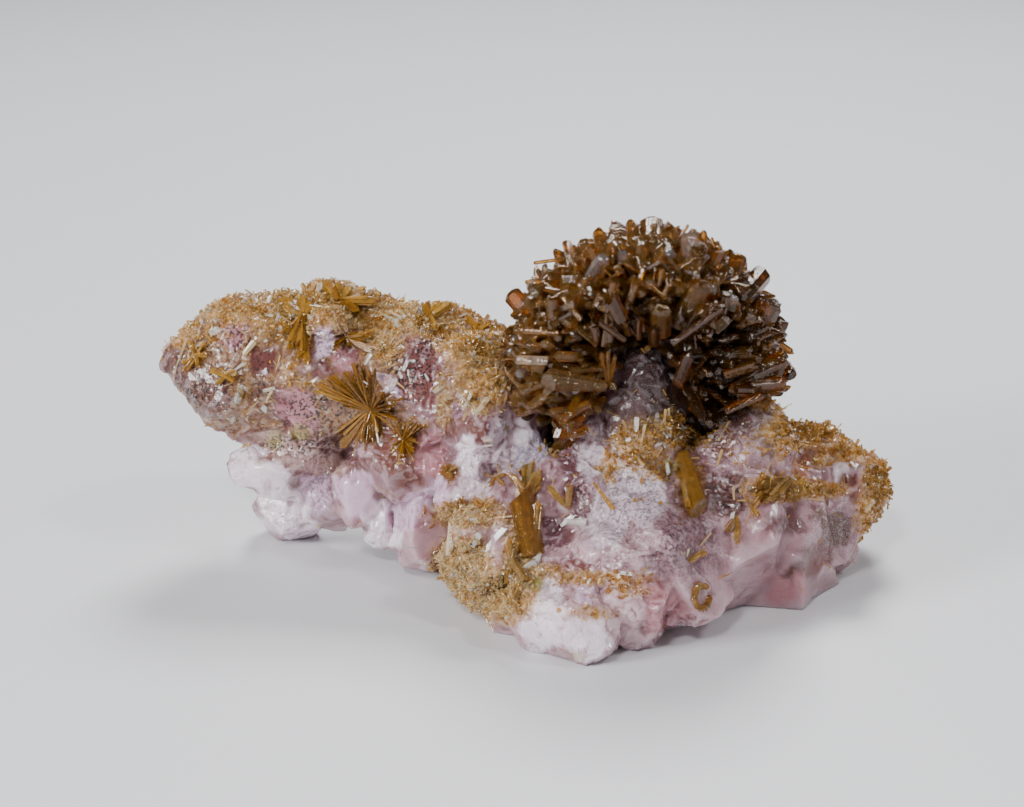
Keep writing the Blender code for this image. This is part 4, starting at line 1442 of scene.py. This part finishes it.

# %% [markdown]
# ## Bars and blades placed by eye
#
# Short bright bars lie all over the wing and round the rosette. The ones that stand out are
# placed one by one: where each begins and ends in the view, how wide it shows and how light it
# is. The white ones are almost clear prisms whose white paints their glints, and the others are
# brown blades.

# %% Bars: from x, y to x, y, width, tint
BARS = (
    (174, 374, 187, 338, 2.5, 0.85), (234, 371, 244, 363, 3, 1.0), (188, 352, 204, 341, 2.5, 0.9),
    (244, 354, 255, 341, 6, 0.85), (275, 326, 280, 314, 5, 1.0), (263, 314, 273, 316, 3, 0.95),
    (283, 306, 291, 317, 3, 0.85), (287, 306, 298, 321, 3, 0.8), (306, 303, 311, 299, 4, 1.0),
    (210, 334, 220, 328, 7, 1.0), (232, 421, 238, 398, 7, 1.0), (236, 420, 242, 388, 8, 0.7),
    (244, 416, 246, 394, 5, 0.55), (240, 386, 248, 390, 4, 1.0), (263, 391, 275, 388, 4, 0.95),
    (266, 402, 272, 390, 3, 0.9), (262, 407, 268, 412, 6, 1.0),
    (317, 398, 325, 393, 3, 0.95), (329, 397, 341, 400, 5, 0.8), (365, 365, 371, 354, 4, 1.0),
    (403, 371, 408, 360, 4, 1.0), (399, 372, 402, 378, 3, 1.0), (392, 387, 396, 379, 6, 1.0),
    (389, 376, 404, 388, 1.8, 0.8), (425, 374, 429, 381, 2.5, 1.0), (380, 314, 396, 321, 4.5, 0.93),
    (389, 311, 402, 318, 3, 0.9), (401, 311, 416, 317, 3, 0.9), (397, 327, 399, 317, 7, 1.0),
    (421, 312, 427, 321, 3.5, 0.9), (447, 344, 458, 342, 4, 1.0), (473, 338, 485, 338, 5, 1.0),
    (483, 340, 492, 343, 3, 0.9), (463, 410, 471, 394, 3.5, 0.95), (463, 420, 468, 411, 2.5, 0.8),
    (476, 414, 488, 398, 6, 0.9), (434, 392, 442, 386, 5, 0.9), (483, 441, 493, 440, 2.5, 0.9),
    (484, 446, 493, 445, 2.5, 0.95), (490, 509, 490, 476, 5.5, 1.0), (470, 520, 480, 521, 5, 1.0),
    (472, 546, 480, 534, 7, 1.0), (485, 551, 506, 527, 6, 1.0), (493, 518, 512, 516, 2, 0.85),
    (561, 526, 574, 515, 4, 1.0), (567, 522, 586, 522, 7, 1.0), (518, 573, 536, 562, 7, 1.0),
    (535, 567, 540, 552, 5, 1.0), (449, 556, 453, 520, 8, 0.92), (439, 568, 446, 564, 4, 1.0),
    (617, 443, 631, 439, 4, 1.0), (636, 436, 637, 417, 5, 0.97), (641, 446, 645, 424, 3, 0.85),
    (664, 422, 666, 409, 3, 0.75), (669, 421, 669, 408, 2.5, 0.8), (661, 430, 668, 438, 2, 1.0),
    (655, 446, 661, 443, 3, 1.0), (667, 463, 669, 475, 4, 1.0), (574, 444, 578, 449, 3, 1.0),
    (578, 418, 585, 431, 5, 0.6), (594, 483, 614, 510, 4.5, 0.6), (620, 573, 633, 574, 3.5, 1.0),
    (700, 546, 711, 533, 2, 0.85), (687, 557, 689, 548, 2, 0.9), (734, 500, 733, 486, 2, 0.8),
    (732, 519, 733, 511, 4, 1.0), (719, 441, 730, 420, 2.5, 0.8), (717, 466, 722, 450, 2.5, 0.75),
    (802, 478, 812, 488, 3, 0.85), (690, 458, 700, 458, 2, 0.8),
    (318, 293, 322, 281, 7, 0.95), (345, 288, 356, 286, 8, 0.9), (368, 294, 372, 290, 5, 0.9),
    (241, 303, 248, 299, 6, 0.95), (251, 303, 255, 296, 5, 0.85), (268, 303, 271, 295, 4, 0.95),
    (634, 454, 644, 466, 2.5, 0.8), (650, 470, 640, 468, 2, 0.8), (612, 466, 606, 476, 3, 0.7),
    (756, 393, 753, 378, 4, 0.85), (748, 392, 744, 380, 3, 0.7), (886, 486, 880, 476, 4, 0.6),
    (866, 466, 872, 468, 4, 0.95), (852, 462, 858, 468, 5, 0.95), (868, 508, 874, 500, 4, 0.9),
)

# %% Make the bars
BAR_RISE = 0.45  # millimetres by which a bar's tip stands off the stone
BAR_FLATNESS = 0.55
PALE = 0.72
glint_white_bars = Cluster("pale_glint_bars")
brown_bars = Cluster("brown_bars")
rng = np.random.default_rng(41)
for x1, y1, x2, y2, width, shade in BARS:
    base = raised(x1, y1, 0.05)
    tip = kept_near(raised(x2, y2, BAR_RISE), base, (x1, y1), (x2, y2))
    wide = width / UNITS_PER_MM
    # Bars paler than PALE are painted glints on clear prisms.
    bars, patterns = (glint_white_bars, BAR) if shade > PALE else (brown_bars, BLADE)
    pattern = patterns[rng.integers(2)]
    turn = rng.uniform(-0.5, 0.5)
    bars.add(pattern, base, tip, wide, wide * BAR_FLATNESS, turn, shade)
glint_white_bars.finish(straw)
brown_bars.finish(olive)

# %% [markdown]
# The starburst, the sprays and the single big prisms are fans: blades that share a foot. The
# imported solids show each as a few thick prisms. On the real specimen every blade is a bundle of
# thin ones, so each listed blade brings its own bundle, with feet and ends a little apart.

# %% Fans of brown blades: foot x, y, then tips x, y, width, tint
FANS = (
    ("left_starburst", (
        (372, 410, (318, 384, 7, 0.55), (330, 376, 6, 0.4), (341, 398, 8, 0.3), (345, 370, 6, 0.4),
         (352, 362, 6, 0.35), (362, 364, 6, 0.3), (372, 374, 7, 0.3), (384, 392, 7, 0.25),
         (392, 404, 8, 0.2), (341, 447, 12, 0.45), (356, 442, 8, 0.35), (364, 443, 8, 0.3),
         (372, 440, 8, 0.3), (379, 444, 2, 0.95), (378, 434, 6, 0.4), (396, 418, 6, 0.3),
         (334, 386, 4, 0.5), (324, 391, 4, 0.65), (350, 380, 5, 0.3), (358, 372, 5, 0.35)),
        (404, 440, (396, 420, 5, 0.4), (412, 428, 6, 0.35), (416, 440, 6, 0.3), (402, 456, 5, 0.5),
         (394, 450, 5, 0.5), (414, 452, 5, 0.45), (420, 424, 5, 0.3)),
        (345, 338, (366, 340, 3, 0.4), (372, 350, 3, 0.45), (356, 332, 3, 0.4), (374, 332, 3, 0.5),
         (334, 344, 4, 0.4), (352, 346, 3, 0.45)),
    )),
    ("ridge_spray", (
        (302, 318, (279, 299, 16, 0.45), (304, 297, 14, 0.5), (290, 300, 10, 0.55),
         (296, 345, 10, 0.35), (308, 366, 8, 0.35), (302, 358, 8, 0.4), (290, 350, 7, 0.5),
         (316, 326, 8, 0.4), (284, 334, 8, 0.35), (312, 302, 10, 0.5), (282, 306, 8, 0.6)),
        (340, 300, (325, 280, 14, 0.5), (336, 283, 12, 0.4), (350, 286, 10, 0.55),
         (365, 292, 10, 0.5), (360, 312, 10, 0.35), (330, 312, 9, 0.4), (374, 300, 9, 0.5)),
        (196, 356, (184, 372, 6, 0.55), (190, 344, 5, 0.6), (205, 342, 5, 0.6),
         (207, 354, 6, 0.55), (182, 364, 5, 0.65), (198, 366, 5, 0.5)),
        (226, 376, (210, 370, 6, 0.6), (238, 372, 6, 0.65), (236, 382, 6, 0.55),
         (216, 384, 6, 0.6)),
        (430, 316, (424, 302, 10, 0.4), (440, 300, 10, 0.6), (452, 302, 9, 0.55),
         (436, 330, 8, 0.4)),
        (480, 330, (477, 322, 8, 0.5), (490, 324, 8, 0.45), (498, 328, 6, 0.5),
         (468, 318, 8, 0.5)),
    )),
    ("centre_prisms", (
        (534, 556, (518, 486, 26, 0.32), (538, 500, 12, 0.4)),
        (527, 496, (519, 470, 12, 0.5), (526, 464, 12, 0.55), (533, 462, 10, 0.65),
         (539, 469, 12, 0.5), (512, 474, 9, 0.45), (542, 478, 9, 0.45)),
        (568, 507, (548, 486, 8, 0.55), (570, 484, 9, 0.4)),
        (512, 560, (508, 538, 8, 0.35), (518, 540, 8, 0.3), (526, 582, 10, 0.5),
         (508, 584, 10, 0.45)),
        (520, 586, (502, 592, 8, 0.6), (534, 578, 8, 0.65), (514, 600, 8, 0.6),
         (496, 606, 8, 0.6)),
        (449, 471, (441, 466, 4, 0.5), (440, 474, 4, 0.45), (457, 467, 4, 0.55),
         (458, 476, 4, 0.5), (450, 480, 4, 0.5), (448, 463, 4, 0.5)),
        (385, 497, (382, 486, 2.5, 0.5), (391, 485, 2.5, 0.45), (378, 492, 2.5, 0.6)),
        (458, 508, (446, 504, 5, 0.5), (462, 498, 5, 0.4), (470, 510, 5, 0.5),
         (452, 516, 5, 0.55)),
        (482, 508, (474, 500, 5, 0.4), (494, 500, 5, 0.5), (478, 516, 5, 0.45)),
        (496, 478, (484, 474, 4, 0.4), (506, 474, 4, 0.45), (490, 486, 4, 0.4),
         (504, 486, 4, 0.5)),
    )),
    ("groove_prisms", (
        (788, 480, (762, 484, 8, 0.35), (758, 496, 9, 0.4), (770, 500, 9, 0.45),
         (756, 488, 6, 0.3), (780, 494, 8, 0.5), (798, 484, 7, 0.6), (764, 504, 6, 0.4)),
        (752, 508, (746, 496, 5, 0.45), (760, 500, 5, 0.5), (758, 516, 5, 0.45)),
    )),
    ("stout_prism", ((680, 456, (700, 514, 22, 0.36), (688, 508, 7, 0.55), (676, 468, 10, 0.6)),)),
    ("brown_prism", ((735, 520, (737, 542, 8, 0.5), (726, 532, 5, 0.5), (731, 530, 5, 0.7)),)),
    ("olive_blade", ((690, 561, (707, 552, 6, 0.55), (697, 558, 5, 0.6)),)),
    ("gold_blade", ((234, 420, (242, 388, 8, 0.7), (238, 392, 6, 0.9)),)),
)

# %% Make the fans
BIG = 18  # width in the view from which the main blade is one slanted prism
THINNEST = 0.16  # millimetres
RIDGE_WIDER = 1.3
for name, groups in FANS:
    dense, ridged = name == "left_starburst", name == "ridge_spray"
    fan = Cluster(name + "_crystals")
    for x, y, *tips in groups:
        foot = raised(x, y, 0.1)
        for tip_x, tip_y, width, shade in tips:
            tip = kept_near(raised(tip_x, tip_y, 0.7 + width / 25), foot, (x, y), (tip_x, tip_y))
            wide = width / UNITS_PER_MM
            spread = 0.8 if dense else 0.4
            # A thin pale blade stays one prism: a painted glint.
            parts = 1 if width < 4 and shade > 0.7 else 10 if dense else 6
            for i in range(parts):
                big = width > BIG and not i
                turn = rng.uniform(-0.6, 0.6) if i or width < BIG else 0.45
                off = Vector(rng.normal(size=3)) * min(wide, 0.6) * spread * (i > 0)
                pattern = SLANT if big else (BLADE + [CHISEL, SLANT])[rng.integers(4)]
                share = 1.0 if parts == 1 or big else rng.uniform(0.2, 0.4) if i else 0.8
                size = max(wide * share, THINNEST) * (RIDGE_WIDER if ridged else 1.0)
                base = foot + off * (0.3 if dense else 0.8)
                end = (foot + (tip - foot) * rng.uniform(0.7, 1.05) if i else tip) + off
                darker = 0.22 if dense and shade < 0.9 else 0.15 if ridged else 0
                lighter = rng.uniform(0, 0.25) - darker
                fan.add(pattern, base, end, size, size * 0.6, turn, shade + lighter)
    fan.finish(bronze if dense or ridged else olive, (name,))

# %% [markdown]
# One crystal at the lower right isn't straight: it curls like the letter C. The solid bends one
# prism round. Here short prisms overlap round the same ring, which keeps flat, glossy faces.

# %% The curled crystal: a ring of short prisms
CURL_MIDDLE, CURL_WIDE, CURL_HIGH = (702, 597), 7.5, 11.5
CURL_PRISMS, CURL_START, CURL_STEP = 16, 60, 19  # start and step in degrees


def on_curl(step, lift):
    """The point that many steps round the curl, lift in front of the stone."""
    angle = math.radians(CURL_START + step * CURL_STEP)
    x = CURL_MIDDLE[0] + math.cos(angle) * CURL_WIDE
    return raised(x, CURL_MIDDLE[1] - math.sin(angle) * CURL_HIGH, lift)


curl = Cluster("curled_crystal_prisms")
for i in range(CURL_PRISMS):
    base, tip = on_curl(i, 0.2), on_curl(i + 1.3, 0.7)
    curl.add(CHISEL, base, tip, 0.85, 0.6, rng.uniform(0, 3), rng.uniform(0.35, 0.7))
curl.finish(olive, ("curled_crystal",))

# %% [markdown]
# ## Druse and needles on the stone
#
# Thousands of small prisms lie and stand on the quartz, thick where the golden crusts are and
# thin elsewhere. Each starts on a face of the stone's own mesh, so it sits on it from every
# side. Faces are drawn by chance, in proportion to their area and to how much crust they carry.

# %% Where on the stone, and how thickly
mesh = quartz.data
face_count = len(mesh.polygons)


def read_faces(name, width):
    """One value, or width values, from each of the stone's faces."""
    flat = np.empty(face_count * width, np.float32)
    mesh.polygons.foreach_get(name, flat)
    return flat.reshape(-1, width).astype(float) if width > 1 else flat


centres = read_faces("center", 3) / MM
face_normals = read_faces("normal", 3)
areas = read_faces("area", 1)
face_view, _ = view_of(centres)
facing = np.clip(-(face_normals @ np.array(FORWARD)) * 2 + 0.5, 0, 1)
upper = np.clip(face_normals[:, 2], 0, 1)
crust_cover = area_weight(face_view, CRUST) * facing
behind = 0.35 * upper * (1 - facing) * (centres[:, 2] > CRUST_FLOOR)
# Painted light on the centre crust, which is lit strongly.
centre_crust_painted_light = area_weight(face_view, ((490, 560, 66, 66, 0.16),))
face_wing = np.clip((WING_END - face_view[:, 0]) / WING_BLUR, 0, 1)
face_wing *= np.clip((WING_FOOT - face_view[:, 1]) / FOOT_BLUR, 0, 1)
for _, *corners in FACES:
    face_wing *= 1 - 0.95 * face_cover(face_view, corners, 4.0)
print("faces under crust:", int((crust_cover > 0.5).sum()), "of", face_count)


# %% Scatter small crystals
# The white share is of painted glints.
SMALL_WHITE_SHARE = 0.05
SMALL_LIGHTEST = 0.84
LOWEST_FOOT = 0.8  # millimetres


def clump(place):
    """Slow change from place to place, between 0 and 1."""
    return min(1.0, max(0.0, 0.5 + 0.9 * mathutils.noise.noise(place * 0.45)))


def scatter(cluster, patterns, count, cover, length, width, stand, tints, seed):
    """Small crystals at random faces; stand is how steeply they rise from the stone."""
    rng = np.random.default_rng(seed)
    share = areas * cover
    share = share / share.sum()
    for i in rng.choice(face_count, count, p=share):
        normal = Vector(face_normals[i])
        way = Vector(rng.normal(size=3))
        way -= normal * way.dot(normal)
        way = (way.normalized() + normal * rng.uniform(*stand)).normalized()
        size = length[0] + (length[1] - length[0]) * rng.uniform() ** 2
        thick = width[0] + (width[1] - width[0]) * rng.uniform() ** 2
        base = Vector(centres[i]) + Vector(rng.uniform(-0.15, 0.15, 3)) - way * size * 0.3
        if base.z < LOWEST_FOOT:
            continue
        tip = base + way * size
        pattern = patterns[rng.integers(len(patterns))]
        shade = tints[0] + (tints[1] - tints[0]) * (0.6 * clump(base) + 0.4 * rng.uniform())
        # Painted light and shade: crystals on the left are lighter and those on the right darker,
        # as the light comes from the left, and the centre crust is lighter still.
        shade += (0.08 if base.x < 8 else -0.12) + centre_crust_painted_light[i]
        # Now and then a crystal is white, as a painted glint.
        shade = 1.0 if rng.uniform() < SMALL_WHITE_SHARE else min(shade, SMALL_LIGHTEST)
        cluster.add(pattern, base, tip, thick, thick * 0.7, rng.uniform(0, 6.3), shade)


# %% Straw druse: short prisms that stand up, in two pieces because of their number
for number in (0, 1):
    druse = Cluster("straw_druse_" + str(number))
    scatter(
        druse, NEEDLE, 9000, crust_cover**1.5 + 0.03 * face_wing * facing + behind,
        length=(0.2, 0.75), width=(0.10, 0.38), stand=(0.5, 2.2), tints=(0.40, 0.88),
        seed=31 + number,
    )
    druse.finish(straw)

# %% Brown druse: longer and thicker, and more of it lying down
browns = Cluster("brown_druse")
scatter(
    browns, BLADE + NEEDLE, 2800, crust_cover**1.5 + behind,
    length=(0.4, 1.3), width=(0.20, 0.62), stand=(0.1, 1.6), tints=(0.40, 0.95), seed=33,
)
browns.finish(olive)

# %% Needles: long and thin, flat on the stone, some also far from the crusts
needles = Cluster("straw_needles")
scatter(
    needles, NEEDLE, 1200, 0.06 + crust_cover + 0.15 * face_wing + behind,
    length=(0.8, 2.4), width=(0.08, 0.2), stand=(0.0, 0.5), tints=(0.6, 0.95), seed=35,
)
needles.finish(straw)
